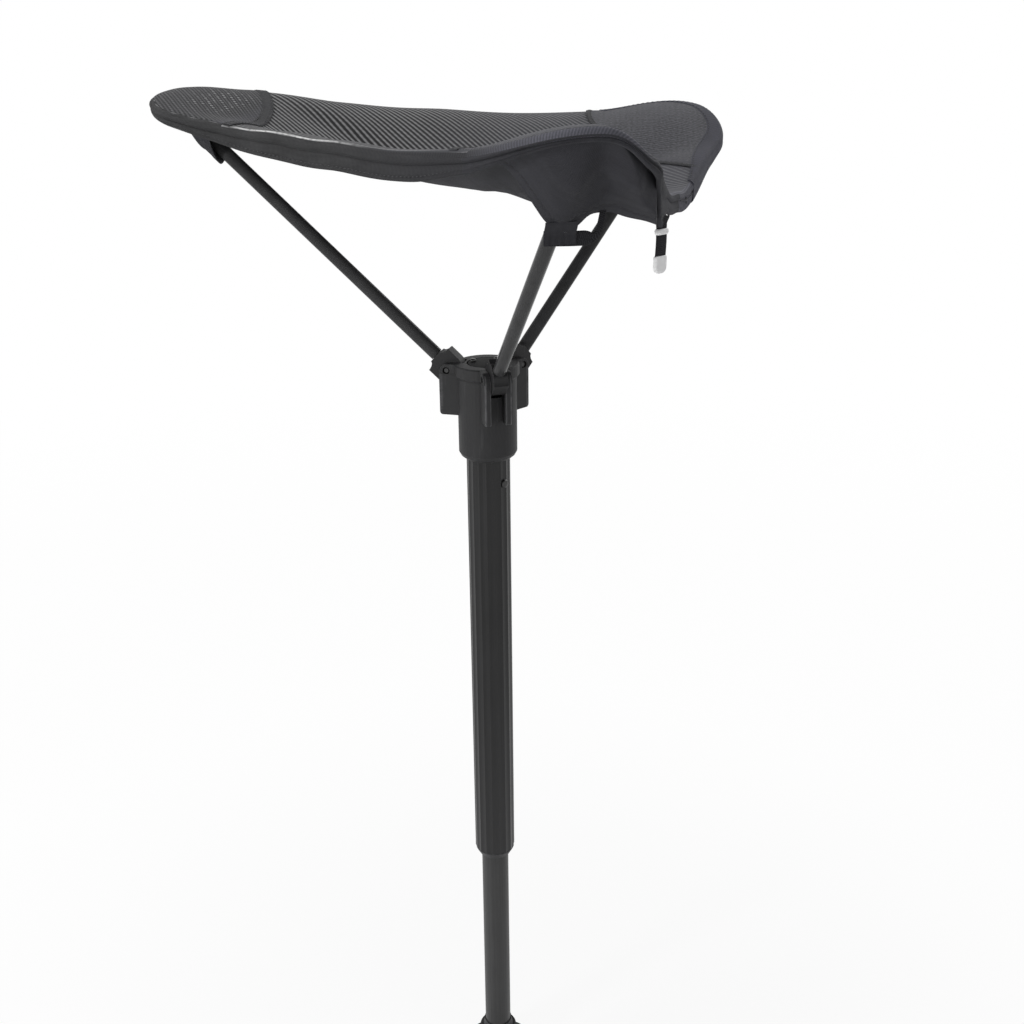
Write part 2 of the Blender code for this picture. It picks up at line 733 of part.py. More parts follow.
def close_profile(obj):
    """Join the ends of a cup's profile, whose inner side comes back up from the axis."""
    work = bmesh.new()
    work.from_mesh(obj.data)
    work.verts.ensure_lookup_table()
    work.edges.ensure_lookup_table()
    on_axis = [edge for edge in work.edges if all(vert.co.x == 0.0 for vert in edge.verts)]
    bmesh.ops.delete(work, geom=on_axis, context="EDGES_FACES")
    work.verts.ensure_lookup_table()
    work.edges.new((work.verts[-1], work.verts[0]))
    work.to_mesh(obj.data)
    work.free()


def strut_line(radius):
    """Height of a strut's axis above the pivots at a distance from the post."""
    return (radius - PIVOT_RADIUS) * math.tan(STRUT_RISE)


def struts():
    """Each strut: a flat knuckle on the pivot, a tube on its spigot and a round cap in the tube's end."""
    tail = arc((0.0, 0.0), KNUCKLE_RADIUS, 90.0, 270.0, 14)
    half = STRUT_RADIUS + NOSE_LIP
    neck = (KNUCKLE_NOSE - KNUCKLE_SHOULDER, KNUCKLE_RADIUS - half)
    low = arc((KNUCKLE_NOSE, -KNUCKLE_RADIUS), neck, 180.0, 90.0, 6)
    high = arc((KNUCKLE_NOSE, KNUCKLE_RADIUS), neck, 270.0, 180.0, 6)
    outline = tail + low + high
    tube_end = STRUT_REACH - TIP_HEAD_LENGTH
    for index, azimuth in enumerate(STRUT_AZIMUTHS, 1):
        turn = math.radians(azimuth)
        pivot = (PIVOT_RADIUS * math.cos(turn), PIVOT_RADIUS * math.sin(turn), PIVOT_HEIGHT)
        axis = guide(f"strut_axis_{index}", pivot, (0.0, -STRUT_RISE, turn))
        mesh = prism_mesh(f"knuckle_{index}", [outline], KNUCKLE_THICKNESS)
        mesh.transform(Matrix.Rotation(math.pi / 2, 4, "X"))
        smooth(mesh, 25.0)
        knuckle = place(f"knuckle_{index}", mesh, KNUCKLE_PLASTIC, axis)
        edges = knuckle.modifiers.new("edges", "BEVEL")
        edges.width = KNUCKLE_BEVEL
        edges.segments = KNUCKLE_BEVEL_STEPS
        edges.limit_method = "ANGLE"
        edges.angle_limit = math.radians(50.0)
        reach = KNUCKLE_NOSE + SPIGOT_REACH - KNUCKLE_SHOULDER
        rod = Matrix.Translation((KNUCKLE_SHOULDER + reach / 2, 0.0, 0.0))
        spigot = rods_mesh(f"knuckle_spigot_{index}", STRUT_INNER - SEAT_GAP, reach, [rod], steps=16)
        boolean(knuckle, as_cutter(place(spigot.name, spigot, None, axis, CUTTERS)), "UNION")
        across = Matrix.Rotation(math.pi / 2, 4, "Z")
        bore = rods_mesh(f"knuckle_bore_{index}", PIN_RADIUS + BORE_GAP, KNUCKLE_THICKNESS * 2, [across])
        boolean(knuckle, as_cutter(place(bore.name, bore, None, axis, CUTTERS)), "DIFFERENCE")

        along = (0.0, math.pi / 2, 0.0)
        tube = turned(f"strut_{index}", [
            (STRUT_RADIUS, tube_end),
            (STRUT_RADIUS, KNUCKLE_NOSE + SEAT_GAP),
            (STRUT_INNER, KNUCKLE_NOSE + SEAT_GAP),
            (STRUT_INNER, tube_end),
        ], BLACK_TUBE, steps=24, ring=True, parent=axis)
        tube.rotation_euler = along
        neck_radius = STRUT_INNER - SEAT_GAP
        cap = turned(f"strut_tip_{index}", [
            (0.0, STRUT_REACH),
            *[(TIP_HEAD_RADIUS * x, STRUT_REACH - TIP_HEAD_RADIUS * TIP_ROUND * (1.0 - y))
              for x, y in arc((0.0, 0.0), 1.0, 65.0, 0.0, 3)],
            (TIP_HEAD_RADIUS, tube_end + SEAT_GAP),
            (neck_radius, tube_end + SEAT_GAP),
            (neck_radius, tube_end - TIP_SHANK),
            (0.0, tube_end - TIP_SHANK),
        ], KNUCKLE_PLASTIC, steps=SMALL_STEPS, parent=axis)
        cap.rotation_euler = along


def from_lobe(azimuth):
    """Degrees from the nearest lobe's axis, within 60 either way."""
    return (azimuth - STRUT_AZIMUTHS[2] + 60.0) % 120.0 - 60.0


def turn_from(azimuth, other):
    """Degrees from another azimuth, within 180 either way."""
    return (azimuth - other + 180.0) % 360.0 - 180.0


def rim_radius(azimuth):
    """The rim's distance from the post, drawn in a little at the rear lobe's right shoulder."""
    tuck = math.exp(-(turn_from(azimuth, REAR_TUCK_AZIMUTH) / REAR_TUCK_SPREAD) ** 2)
    return even_rim(azimuth) - REAR_TUCK * tuck


def even_rim(azimuth):
    """Round lobe ends, joined by shallow hollow sides tangent to them."""
    lobe = LOBE_REACH - LOBE_RADIUS
    along, across = lobe * math.cos(math.pi / 3), lobe * math.sin(math.pi / 3)
    ahead = SIDE_REACH - along
    side = (ahead * ahead + across * across - LOBE_RADIUS ** 2) / (2.0 * (LOBE_RADIUS - ahead))
    centre = SIDE_REACH + side
    turn = math.radians(abs(from_lobe(azimuth)))
    meet = Vector((along, across)) + LOBE_RADIUS * Vector((centre - along, -across)).normalized()
    if math.pi / 3 - turn >= math.atan2(meet.y, meet.x):
        return lobe * math.cos(turn) + math.sqrt(LOBE_RADIUS ** 2 - (lobe * math.sin(turn)) ** 2)
    swing = math.pi / 3 - turn
    return centre * math.cos(swing) - math.sqrt(side ** 2 - (centre * math.sin(swing)) ** 2)


def rim_height(azimuth):
    """The rim's height: a smooth closed curve through the heights at the lobes' tips, shoulders and sides.

    The right side is slack, so its rim hangs lowest.
    """
    keys = sorted(RIM_RISES)
    heights = [STRUT_UP + RIM_RISES[key] for key in keys]
    keys = [keys[-1] - 360.0, *keys, keys[0] + 360.0, keys[1] + 360.0]
    heights = [heights[-1], *heights, heights[0], heights[1]]
    azimuth = (azimuth - keys[1]) % 360.0 + keys[1]
    spot = next(i for i in range(1, len(keys) - 2) if azimuth <= keys[i + 1])
    span = keys[spot + 1] - keys[spot]
    share = (azimuth - keys[spot]) / span
    slopes = [(heights[i + 1] - heights[i - 1]) / (keys[i + 1] - keys[i - 1]) for i in (spot, spot + 1)]
    start = heights[spot] + share * span * slopes[0]
    end = heights[spot + 1] - (1.0 - share) * span * slopes[1]
    return start + (end - start) * ease(share)


def seat_height(azimuth, share):
    """Height of the cloth's top at a share of the way from the middle to the rim.

    An S-shaped rise, and a hollow inside the slack right side.
    """
    rise = (rim_height(azimuth) - DISH_HEIGHT) * math.sin(math.pi * share / 2.0) ** 2
    rightward = max(0.0, math.cos(math.radians(azimuth)))
    return DISH_HEIGHT + rise - RIGHT_DIP * (rightward * math.sin(math.pi * share)) ** 2


def polar(azimuth, radius, height):
    turn = math.radians(azimuth)
    return Vector((radius * math.cos(turn), radius * math.sin(turn), height))


def crowd_to_lobes(azimuth):
    """Move evenly spaced azimuths closer together at the lobes, where the rim turns most."""
    return azimuth - math.degrees(LOBE_CROWDING * math.sin(math.radians(3.0 * from_lobe(azimuth))) / 3.0)


def seat_panel(parent):
    """The sling: a spun disc drawn out to the lobed rim and dished."""
    work = bmesh.new()
    spoke = [work.verts.new((ring / PANEL_RINGS, 0.0, 0.0)) for ring in range(PANEL_RINGS + 1)]
    edges = [work.edges.new(pair) for pair in zip(spoke, spoke[1:])]
    bmesh.ops.spin(
        work, geom=spoke + edges, cent=(0.0, 0.0, 0.0), axis=(0.0, 0.0, 1.0), angle=2.0 * math.pi,
        steps=PANEL_SEGMENTS, use_merge=False,
    )
    bmesh.ops.remove_doubles(work, verts=work.verts, dist=0.0001)
    for vert in work.verts:
        share = vert.co.xy.length
        azimuth = crowd_to_lobes(math.degrees(math.atan2(vert.co.y, vert.co.x)))
        vert.co = polar(azimuth, share * rim_radius(azimuth), seat_height(azimuth, share))
    bmesh.ops.recalc_face_normals(work, faces=work.faces)
    if sum(face.normal.z for face in work.faces) < 0.0:
        bmesh.ops.reverse_faces(work, faces=work.faces)
    mesh = bpy.data.meshes.new("seat_panel")
    work.to_mesh(mesh)
    work.free()
    smooth(mesh, 60.0)
    thicken(place("seat_panel", mesh, MESH_CLOTH, parent), PANEL_THICKNESS)


def underside(azimuth, radius):
    """Height just below the panel's lower face, allowing for the cloth's slope."""
    rim = rim_radius(azimuth)
    share = min(1.0, radius / rim)
    step = 0.5
    along = (seat_height(azimuth + step, share) - seat_height(azimuth - step, share))
    along /= 2.0 * math.radians(step) * max(radius, 0.01)
    outward = (seat_height(azimuth, share) - seat_height(azimuth, share - 0.02)) / (0.02 * rim)
    slope = math.sqrt(1.0 + along ** 2 + outward ** 2)
    return seat_height(azimuth, share) - (PANEL_THICKNESS + SEAT_GAP) * slope


def hem_point(azimuth, up):
    """A point on the outer face of a hem, up being 0 at its lower edge and 1 under the panel.

    The hem sags where the pull tab hangs from it.
    """
    radius = rim_radius(azimuth) - HEM_INSET
    away = abs(from_lobe(azimuth)) - HEM_START
    by_left = abs(turn_from(azimuth, STRUT_AZIMUTHS[0])) < 60.0
    run_out = LEFT_RUN_OUT if by_left else HEM_RUN_OUT
    from_tab = turn_from(azimuth, TAB_AZIMUTH)
    past_tab = max(from_tab / HEM_SAG_REAR, -from_tab / HEM_SAG_FRONT)
    depth = HEM_END_HEIGHT + (HEM_HEIGHT - HEM_END_HEIGHT) * ease(away / run_out)
    depth += HEM_SAG * (1.0 - ease(past_tab))
    return polar(azimuth, radius, underside(azimuth, radius) - CLOTH_GAP - depth * (1.0 - up))


def side_hems(parent):
    """A hem under each side's rim, deepest in the middle and dying away before the lobes' tips."""
    for index, lobe in enumerate(STRUT_AZIMUTHS, 1):
        first = crowd_inverse(lobe + HEM_START)
        last = crowd_inverse(lobe + 120.0 - HEM_START)

        def shape(along, up):
            return hem_point(crowd_to_lobes(first + (last - first) * along), up)

        cloth(f"side_hem_{index}", 34, 2, shape, HEM_THICKNESS, PLAIN_CLOTH, parent)


def crowd_inverse(azimuth):
    """The even azimuth that crowding moves to this one, by repeated correction."""
    even = azimuth
    for _ in range(60):
        even += azimuth - crowd_to_lobes(even)
    return even


def pockets(parent):
    """Under each lobe a cloth pocket, sewn to the panel at its edges and passing under the strut's end.

    The slack pocket is wider on one side, where its mouth hangs low and its cloth climbs to the panel as a wall.
    """
    lobe = LOBE_REACH - LOBE_RADIUS
    edge = LOBE_RADIUS - POCKET_INSET
    below = TIP_HEAD_RADIUS / math.cos(STRUT_RISE) + POCKET_SLACK
    tip = lobe + POCKET_TIP * edge
    for index, lobe_azimuth in enumerate(STRUT_AZIMUTHS, 1):
        opening = POCKET_MOUTHS[index - 1]

        def slack(across):
            return index == SLACK_POCKET and across > 0.0

        def fall(across):
            snug = math.cos(math.pi * across / 2.0)
            if not slack(across):
                return snug ** POCKET_FALL
            corner = math.sqrt(max(0.0, 1.0 - across ** SLACK_CORNER))
            return (SLACK_SHARE + (1.0 - SLACK_SHARE) * snug ** SLACK_FALL) * corner

        def spot(along, across):
            mouth = opening - POCKET_MOUTH_CURVE * across ** 2
            forward = mouth + (tip - mouth) * along
            beyond = max(0.0, forward - lobe)
            half = math.sqrt(max(0.0, edge ** 2 - beyond ** 2))
            if slack(across):
                half += SLACK_FLARE * (1.0 - ease(along / SLACK_FLARE_END))
            return forward, half * across

        def shape(along, side):
            across = 2.0 * side - 1.0
            forward, sideways = spot(along, across)
            azimuth = lobe_azimuth + math.degrees(math.atan2(sideways, forward))
            radius = math.hypot(forward, sideways)
            top = underside(azimuth, radius) - CLOTH_GAP
            under_strut = min(forward, STRUT_OUT)
            drop = underside(lobe_azimuth, under_strut) - (strut_line(under_strut) - below)
            drop *= 1.0 - ease((forward - STRUT_OUT) / (tip - STRUT_OUT))
            return polar(azimuth, radius, top - drop * fall(across))

        cloth(f"pocket_{index}", 10, 12, shape, POCKET_CLOTH, PLAIN_CLOTH, parent)


def pull_loop(parent):
    """A webbing band across the front pocket's mouth below the strut, one end turned up to the pocket."""
    azimuth, mouth = STRUT_AZIMUTHS[1], POCKET_MOUTHS[1]
    below = TIP_HEAD_RADIUS / math.cos(STRUT_RISE) + POCKET_SLACK + 1.5 * POCKET_CLOTH
    top = strut_line(mouth) - below - SEAT_GAP
    half = BAND_WIDTH / 2
    corner = (BAND_RIGHT - half, top + BAND_RISE / 2)
    outline = [
        (BAND_LEFT, top),
        (BAND_LEFT, top - BAND_WIDTH),
        *arc(corner, (half, BAND_WIDTH + BAND_RISE / 2), 270.0, 360.0, 5),
        (BAND_RIGHT, top + BAND_RISE),
        (BAND_RIGHT - half, top + BAND_RISE),
        (BAND_RIGHT - half, top),
    ]
    mesh = prism_mesh("pull_loop", [outline], BAND_THICKNESS)
    mesh.transform(turn_about_post(azimuth) @ Matrix.Translation((mouth, 0.0, 0.0)) @ STAND_ACROSS)
    place("pull_loop", mesh, WEBBING, parent)


def pull_tab(parent):
    """A short strap that hangs from the right-hand hem, with a pale moulded end."""
    azimuth = TAB_AZIMUTH
    radius = rim_radius(azimuth) - HEM_INSET - HEM_THICKNESS / 2
    reach = math.degrees(TAB_WIDTH / 2 / radius)
    rear, middle, front = [hem_point(azimuth + side, 0.0).z - TAB_GAP for side in (reach, 0.0, -reach)]
    hang = turn_about_post(azimuth) @ Matrix.Translation((radius, 0.0, middle)) @ STAND_ACROSS
    wide = TAB_WIDTH / 2
    strap = [
        (0.0, 0.0),
        (-wide, front - middle),
        (-wide, -TAB_LENGTH),
        (wide, -TAB_LENGTH),
        (wide, rear - middle),
    ]
    mesh = prism_mesh("pull_tab_strap", [strap], TAB_THICKNESS)
    mesh.transform(hang)
    place("pull_tab_strap", mesh, WEBBING, parent)
    wide = TAB_END_WIDTH / 2
    start = -TAB_LENGTH - SEAT_GAP
    low = start - TAB_END_LENGTH + TAB_END_ROUND
    end = [
        (-wide, start),
        *arc((-wide + TAB_END_ROUND, low), TAB_END_ROUND, 180.0, 270.0, 3),
        *arc((wide - TAB_END_ROUND, low), TAB_END_ROUND, 270.0, 360.0, 3),
        (wide, start),
    ]
    mesh = prism_mesh("pull_tab_end", [end], TAB_END_THICKNESS)
    mesh.transform(hang)
    place("pull_tab_end", mesh, PALE_TAPE, parent)


def seat():
    carrier = guide("seat_lift_axis", (0.0, 0.0, PIVOT_HEIGHT))
    seat_panel(carrier)
    side_hems(carrier)
    pockets(carrier)
    pull_loop(carrier)
    pull_tab(carrier)


hub()
hub_cap()
pivot_pins()
outer_tube()
guide_bush()
twist_lock()
leg()
foot()
struts()
seat()
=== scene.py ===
"""Looks of the single-leg stool: cloth, stitching, finishes, studio light and camera, round the frame.

Metres, +Z up, in the frame's own coordinates. Azimuths are in degrees about the post; the seat's lobes point
to 180 (left), 300 (front) and 60 (rear).
"""

import math

import bmesh
import bpy
import numpy as np
from mathutils import Matrix, Vector


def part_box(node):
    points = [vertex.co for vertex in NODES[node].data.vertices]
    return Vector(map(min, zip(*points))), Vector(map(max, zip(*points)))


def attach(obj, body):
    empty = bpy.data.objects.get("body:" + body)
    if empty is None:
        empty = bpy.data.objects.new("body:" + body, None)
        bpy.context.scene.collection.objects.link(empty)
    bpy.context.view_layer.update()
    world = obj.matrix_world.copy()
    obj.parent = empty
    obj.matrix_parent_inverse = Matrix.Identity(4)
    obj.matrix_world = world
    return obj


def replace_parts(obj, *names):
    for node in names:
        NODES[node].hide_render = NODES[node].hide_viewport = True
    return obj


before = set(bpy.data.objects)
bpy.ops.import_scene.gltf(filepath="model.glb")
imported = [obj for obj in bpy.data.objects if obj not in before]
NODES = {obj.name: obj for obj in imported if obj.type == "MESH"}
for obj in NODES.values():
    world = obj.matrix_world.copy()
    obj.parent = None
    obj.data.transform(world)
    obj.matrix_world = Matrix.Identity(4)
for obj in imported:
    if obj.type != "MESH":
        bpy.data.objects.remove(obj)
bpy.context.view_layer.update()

# Stance of the struts
PIVOT_HEIGHT = 0.546
PIVOT_RADIUS = 0.024
STRUT_RISE = math.radians(42.1)
STRUT_REACH = 0.208
STRUT_OUT = PIVOT_RADIUS + STRUT_REACH * math.cos(STRUT_RISE)
STRUT_UP = STRUT_REACH * math.sin(STRUT_RISE)
TIP_HEAD_RADIUS = 0.0045

# The sling's rim and dish
LOBES = {"left": 180.0, "front": 300.0, "rear": 60.0}
FRONT_SIDE = 240.0
LOBE_REACH = STRUT_OUT + 0.0297
LOBE_RADIUS = 0.046
LOBE_CENTRE = LOBE_REACH - LOBE_RADIUS
SIDE_REACH = (LOBE_REACH + LOBE_RADIUS) / 2 - 0.011
DISH_HEIGHT = STRUT_UP - 0.0264
RIGHT_DIP = 0.012
RIM_KEYS = np.array([60.0, 77, 120, 150, 166, 180, 197, 220, 242, 283, 300, 309, 317, 360, 403])
RIM_RISES = 0.001 * np.array([
    7.6, 4.1, 9.3, 15.2, 23.5, 25.0, 13.6, 9.8, 8.0, 10.6, 23.6, 9.6, -1.0, -27.4, -15.4])
REAR_TUCK = 0.0040
REAR_TUCK_AT = 50.0
REAR_TUCK_SPREAD = 13.0
LOBE_CROWDING = 0.6
SPOKES = 480

# Cloth
SLING_THICKNESS = 0.0020
SHOULDER = 0.0026
PANEL_DEPTH = 0.0027
RIPPLE = 0.00045
HEM_DEPTHS = (0.0060, 0.0116)
HEM_STARTS = (0.0013, 0.0029)
HEM_SAG = 0.0150
HEM_GROOVE = 0.0054
HEM_BACKS = (-0.0005, -0.0026)
FRONT_HEM_EXTRA = 0.0032
WRAP_DEPTH = 0.0036
RIDGED_FOLD = (203.0, 283.0)
RIDGED_FOLD_COLUMNS = 3
EDGE_COLUMNS = 12
BLUISH_FOLD = (283.0, 60.0)
SEAMS = {"left": (188.0, 0.1345, 0.130), "front": (300.0, 0.1357, 0.090), "rear": (54.0, 0.1150, 0.090)}
TAPE_WIDTHS = {"left": 0.0068, "front": 0.0068, "rear": 0.0036}
PATCH_LIFTS = (0.00062, 0.00014)
PATCH_GAP = 0.00006
TAPE_GAP = 0.00015
BINDING_SPAN = (24.0, 77.5)
BINDING_WIDTHS = (0.0100, 0.0034)
BINDING_LIFT = 0.0009
POCKET_MOUTHS = {"left": STRUT_OUT - 0.0085, "front": STRUT_OUT - 0.0223, "rear": STRUT_OUT - 0.0203}
POCKET_CLOTH = 0.0012
TAB_AZIMUTH = -33.5
STITCH_PITCH = 0.0034
UP = (0.0, 0.0, 1.0)
DOWN = (0.0, 0.0, -1.0)

# Patterns in the cloth
RIDGE_TURN = 56.0
RIDGE_PITCH = 0.0035
DOT_TURN = 40.0
DOT_PITCH = 0.0021
# Where the painted highlight lies along the crest of the near left fold
CREST_TURN = FRONT_SIDE
CREST_AT = 0.1147
CREST_BEND = 0.585
PALEST = 0.94


def turned(x, y, azimuth):
    """A place's parts along and across a line at an azimuth; the negative azimuth turns them back again."""
    turn = math.radians(azimuth)
    return x * math.cos(turn) + y * math.sin(turn), y * math.cos(turn) - x * math.sin(turn)


# Shader maths

def find(sockets, key):
    """The socket with that identifier, or else that name or number."""
    named = [socket for socket in sockets if socket.identifier == key]
    return named[0] if named else sockets[key]


def add_node(tree, kind, settings=None, sockets=None):
    """Add a node: its settings first, then a value or a wire for each socket. Gives the node's outputs."""
    made = tree.nodes.new("ShaderNode" + kind)
    for key, value in (settings or {}).items():
        setattr(made, key, value)
    for key, value in (sockets or {}).items():
        socket = find(made.inputs, key)
        if isinstance(value, Wire):
            tree.links.new(value.socket, socket)
        else:
            socket.default_value = value
    return made.outputs


class Wire:
    """One shader socket. Sums, products and powers of wires and numbers add Math nodes to its material."""

    def __init__(self, socket):
        self.socket = socket

    def node(self, kind, settings=None, sockets=None, output=0):
        """Add a node to this wire's tree, and give a wire from one of its outputs."""
        return Wire(find(add_node(self.socket.id_data, kind, settings, sockets), output))

    def maths(self, operation, *values):
        """A Math node on those wires and numbers."""
        return self.node("Math", {"operation": operation}, dict(enumerate(values)))

    def __add__(self, other):
        return self.maths("ADD", self, other)

    def __sub__(self, other):
        return self.maths("SUBTRACT", self, other)

    def __rsub__(self, other):
        return self.maths("SUBTRACT", other, self)

    def __mul__(self, other):
        return self.maths("MULTIPLY", self, other)

    def __pow__(self, other):
        return self.maths("POWER", self, other)

    def __abs__(self):
        return self.maths("ABSOLUTE", self)

    __radd__ = __add__
    __rmul__ = __mul__

    def wave(self, pitch):
        """A cosine wave of that pitch, from -1 to 1."""
        return self.maths("COSINE", self * (2.0 * math.pi / pitch))

    def rib(self, pitch):
        """Round ribs of that pitch: the cosine wave, brought to between 0 and 1."""
        return self.wave(pitch) * 0.5 + 0.5

    def step(self, low, high):
        """A smooth step from 0 at low to 1 at high."""
        sockets = {"Value": self, "From Min": low, "From Max": high}
        return self.node("MapRange", {"interpolation_type": "SMOOTHSTEP"}, sockets)

    def fall(self, low, high):
        """A smooth step from 1 at low to 0 at high."""
        return 1.0 - self.step(low, high)

    def close_to(self, place, near, far):
        """1 within the near distance of a place, falling smoothly to 0 at the far one."""
        return abs(self - place).fall(near, far)

    def split(self):
        """The three parts of a vector."""
        return [Wire(part) for part in add_node(self.socket.id_data, "SeparateXYZ", sockets={0: self})]

    def noise(self, scale, detail=3.0, stretch=None):
        """Noise on this vector, from 0 to 1, its cells scaled by stretch on each axis."""
        place = self
        if stretch:
            place = self.node("Mapping", sockets={"Vector": self, "Scale": stretch})
        return self.node("TexNoise", sockets={"Vector": place, "Scale": scale, "Detail": detail})

    def mix(self, first, second):
        """A colour, from the first where this is 0 to the second where it is 1."""
        sockets = {"Factor_Float": self, "A_Color": first, "B_Color": second}
        return self.node("Mix", {"data_type": "RGBA"}, sockets, "Result_Color")

    def bump(self, distance, strength=1.0):
        """A normal from this as a height of that distance."""
        return self.node("Bump", sockets={"Strength": strength, "Distance": distance, "Height": self})


def grey(level, blue=0.0):
    """A near-neutral colour, a little bluer by that share, and never quite white."""
    level = min(level, PALEST)
    return (level, level, min(PALEST, level * (1.0 + blue)), 1.0)


class Finish:
    """A material on the Principled shader; constants go on the shader's own sockets.

    place is the point on the object, cloth the piece's own map.
    """

    def __init__(self, name, **constants):
        self.material = bpy.data.materials.new(name)
        self.material.use_nodes = True
        tree = self.material.node_tree
        self.shader = tree.nodes["Principled BSDF"]
        places = add_node(tree, "TexCoord")
        self.place = Wire(places["Object"])
        self.cloth = Wire(places["UV"])
        for key, value in constants.items():
            self.socket(key).default_value = value

    def socket(self, key):
        """The shader's socket of that name, given in small letters with underscores."""
        return self.shader.inputs[key.replace("_", " ").title().replace("Ior", "IOR")]

    def set(self, **wires):
        """Link what changes over the surface, and give back the material."""
        for key, wire in wires.items():
            self.material.node_tree.links.new(wire.socket, self.socket(key))
        return self.material


# Finishes of the cloth

def ridged_mesh():
    """The sling's face: knitted ridges on the front lobe's line, with knots that step from ridge to ridge.

    The ridges are a cosine across a slightly wavering line, and their contrast fades towards the right.
    """
    finish = Finish("ridged_spacer_mesh", specular_ior_level=0.12, sheen_weight=0.05, sheen_roughness=0.5)
    u, v, _ = finish.cloth.split()
    across, along = turned(u, v, RIDGE_TURN)
    across = across + (finish.cloth.noise(11.0, 2.0) - 0.5) * 0.0030
    knot = along.wave(0.0038) * across.wave(2.0 * RIDGE_PITCH)
    yarn = finish.cloth.noise(1500.0, 2.0)
    height = across.rib(RIDGE_PITCH) ** 1.5 * (0.86 + knot * 0.14) + yarn * 0.10
    patch = finish.cloth.noise(22.0, 4.0)
    lit = height.step(0.10, 0.95)
    dark = patch.mix(grey(0.012), grey(0.020, 0.03))
    pale = patch.mix(grey(0.20, 0.01), grey(0.30, 0.03))
    even = patch.mix(grey(0.075, 0.10), grey(0.105, 0.14))
    soft = u.step(-0.08, 0.04) * 0.55 + u.step(0.04, 0.12) * 0.24 + 0.07
    # pale line along the near left fold: a painted highlight, broken up by noise
    pale_line = painted_crest_highlight(u, v) * finish.cloth.noise(240.0, 3.0).step(0.20, 0.56)
    return finish.set(
        base_color=pale_line.mix(soft.mix(lit.mix(dark, pale), even), grey(0.66)),
        roughness=0.88 - lit * 0.14,
        normal=height.bump(0.00050),
    )


def painted_crest_highlight(u, v):
    """A painted highlight along the fold of the near left rim: close to a parabola, fading at both ends."""
    out, along = turned(u, v, CREST_TURN)
    near = (out - along * along * CREST_BEND).close_to(CREST_AT, 0.0002, 0.0010)
    return near * along.step(-0.092, -0.066) * along.fall(-0.010, 0.042)


def dotted_mesh():
    """The lobes' face: a closer mesh, with small round openings in staggered rows.

    A few near the left lobe's seam are pale, and the contrast fades to the right and beside the seams.
    """
    finish = Finish("dotted_lobe_mesh", specular_ior_level=0.12, sheen_weight=0.05, sheen_roughness=0.5)
    u, v, _ = finish.cloth.split()
    across, along = turned(u, v, DOT_TURN)
    across = across + (finish.cloth.noise(20.0, 2.0) - 0.5) * 0.0012
    dot = across.rib(2.0 * DOT_PITCH) * along.rib(0.0037)
    yarn = finish.cloth.noise(1600.0, 2.0)
    height = across.rib(DOT_PITCH) * 0.40 + dot * 0.25 + yarn * 0.22
    patch = finish.cloth.noise(25.0, 4.0)
    grain = finish.cloth.noise(620.0, 2.0).step(0.30, 0.70)
    right = finish.place.split()[0].step(-0.05, 0.05)
    lit = height.step(0.05, 0.80)
    dark = patch.mix(grey(0.015, 0.06), grey(0.022, 0.10))
    pale = patch.mix(grey(0.078, 0.03), grey(0.118, 0.06))
    even = (grain * 0.6 + patch * 0.4).mix(grey(0.054, 0.10), grey(0.134, 0.14))
    face = (right * 0.66).mix(lit.mix(dark, pale), even)
    face = (u.fall(0.004, 0.016) * 0.7).mix(face, grey(0.066, 0.14))
    speck = dot.step(0.45, 0.85) * u.step(0.012, 0.024) * u.fall(0.038, 0.056) * abs(v).fall(0.010, 0.034)
    speck = speck * finish.cloth.noise(160.0, 1.0).step(0.40, 0.60) * (1.0 - right)
    return finish.set(
        base_color=(speck * 0.8).mix(face, grey(0.36, 0.02)),
        roughness=0.86 - lit * 0.12,
        normal=height.bump(0.00045),
    )


def plain_weave():
    """The underside, pockets and the hems by the tab: a plain close weave, with slubs and rubbed patches."""
    finish = Finish("plain_dark_weave", specular_ior_level=0.10, sheen_weight=0.02, sheen_roughness=0.5)
    u, v, _ = finish.cloth.split()
    weft = u.wave(0.0009) * v.wave(0.0009)
    slub = finish.cloth.noise(260.0, 3.0, (1.0, 0.08, 1.0))
    patch = finish.cloth.noise(18.0, 4.0)
    height = weft * 0.35 + slub * 0.5
    worn = (patch * 0.7 + slub * 0.3).step(0.3, 0.75)
    return finish.set(
        base_color=(worn * 0.7 + weft * 0.12 + 0.15).mix(grey(0.032, 0.10), grey(0.050, 0.16)),
        roughness=0.90 - worn * 0.12,
        normal=height.bump(0.00022),
    )


def hem_cloth():
    """The front, left and rear hems: a brushed knit with ribs across the band, paler where it is rubbed."""
    finish = Finish("brushed_hem_knit", specular_ior_level=0.12, sheen_weight=0.04, sheen_roughness=0.5)
    rib = finish.cloth.split()[0].wave(0.0011)
    slub = finish.cloth.noise(420.0, 3.0, (0.15, 1.0, 1.0))
    patch = finish.cloth.noise(30.0, 4.0)
    worn = (patch * 0.6 + slub * 0.4).step(0.32, 0.72)
    height = rib * 0.3 + slub * 0.5
    tone = (worn * 0.75 + rib * 0.1 + 0.1).mix(grey(0.028, 0.03), grey(0.050, 0.04))
    right = finish.place.split()[0].step(-0.07, 0.03)
    return finish.set(
        base_color=right.mix(tone, grey(0.030, 0.10)),
        roughness=0.88 - worn * 0.12,
        normal=height.bump(0.00022),
    )


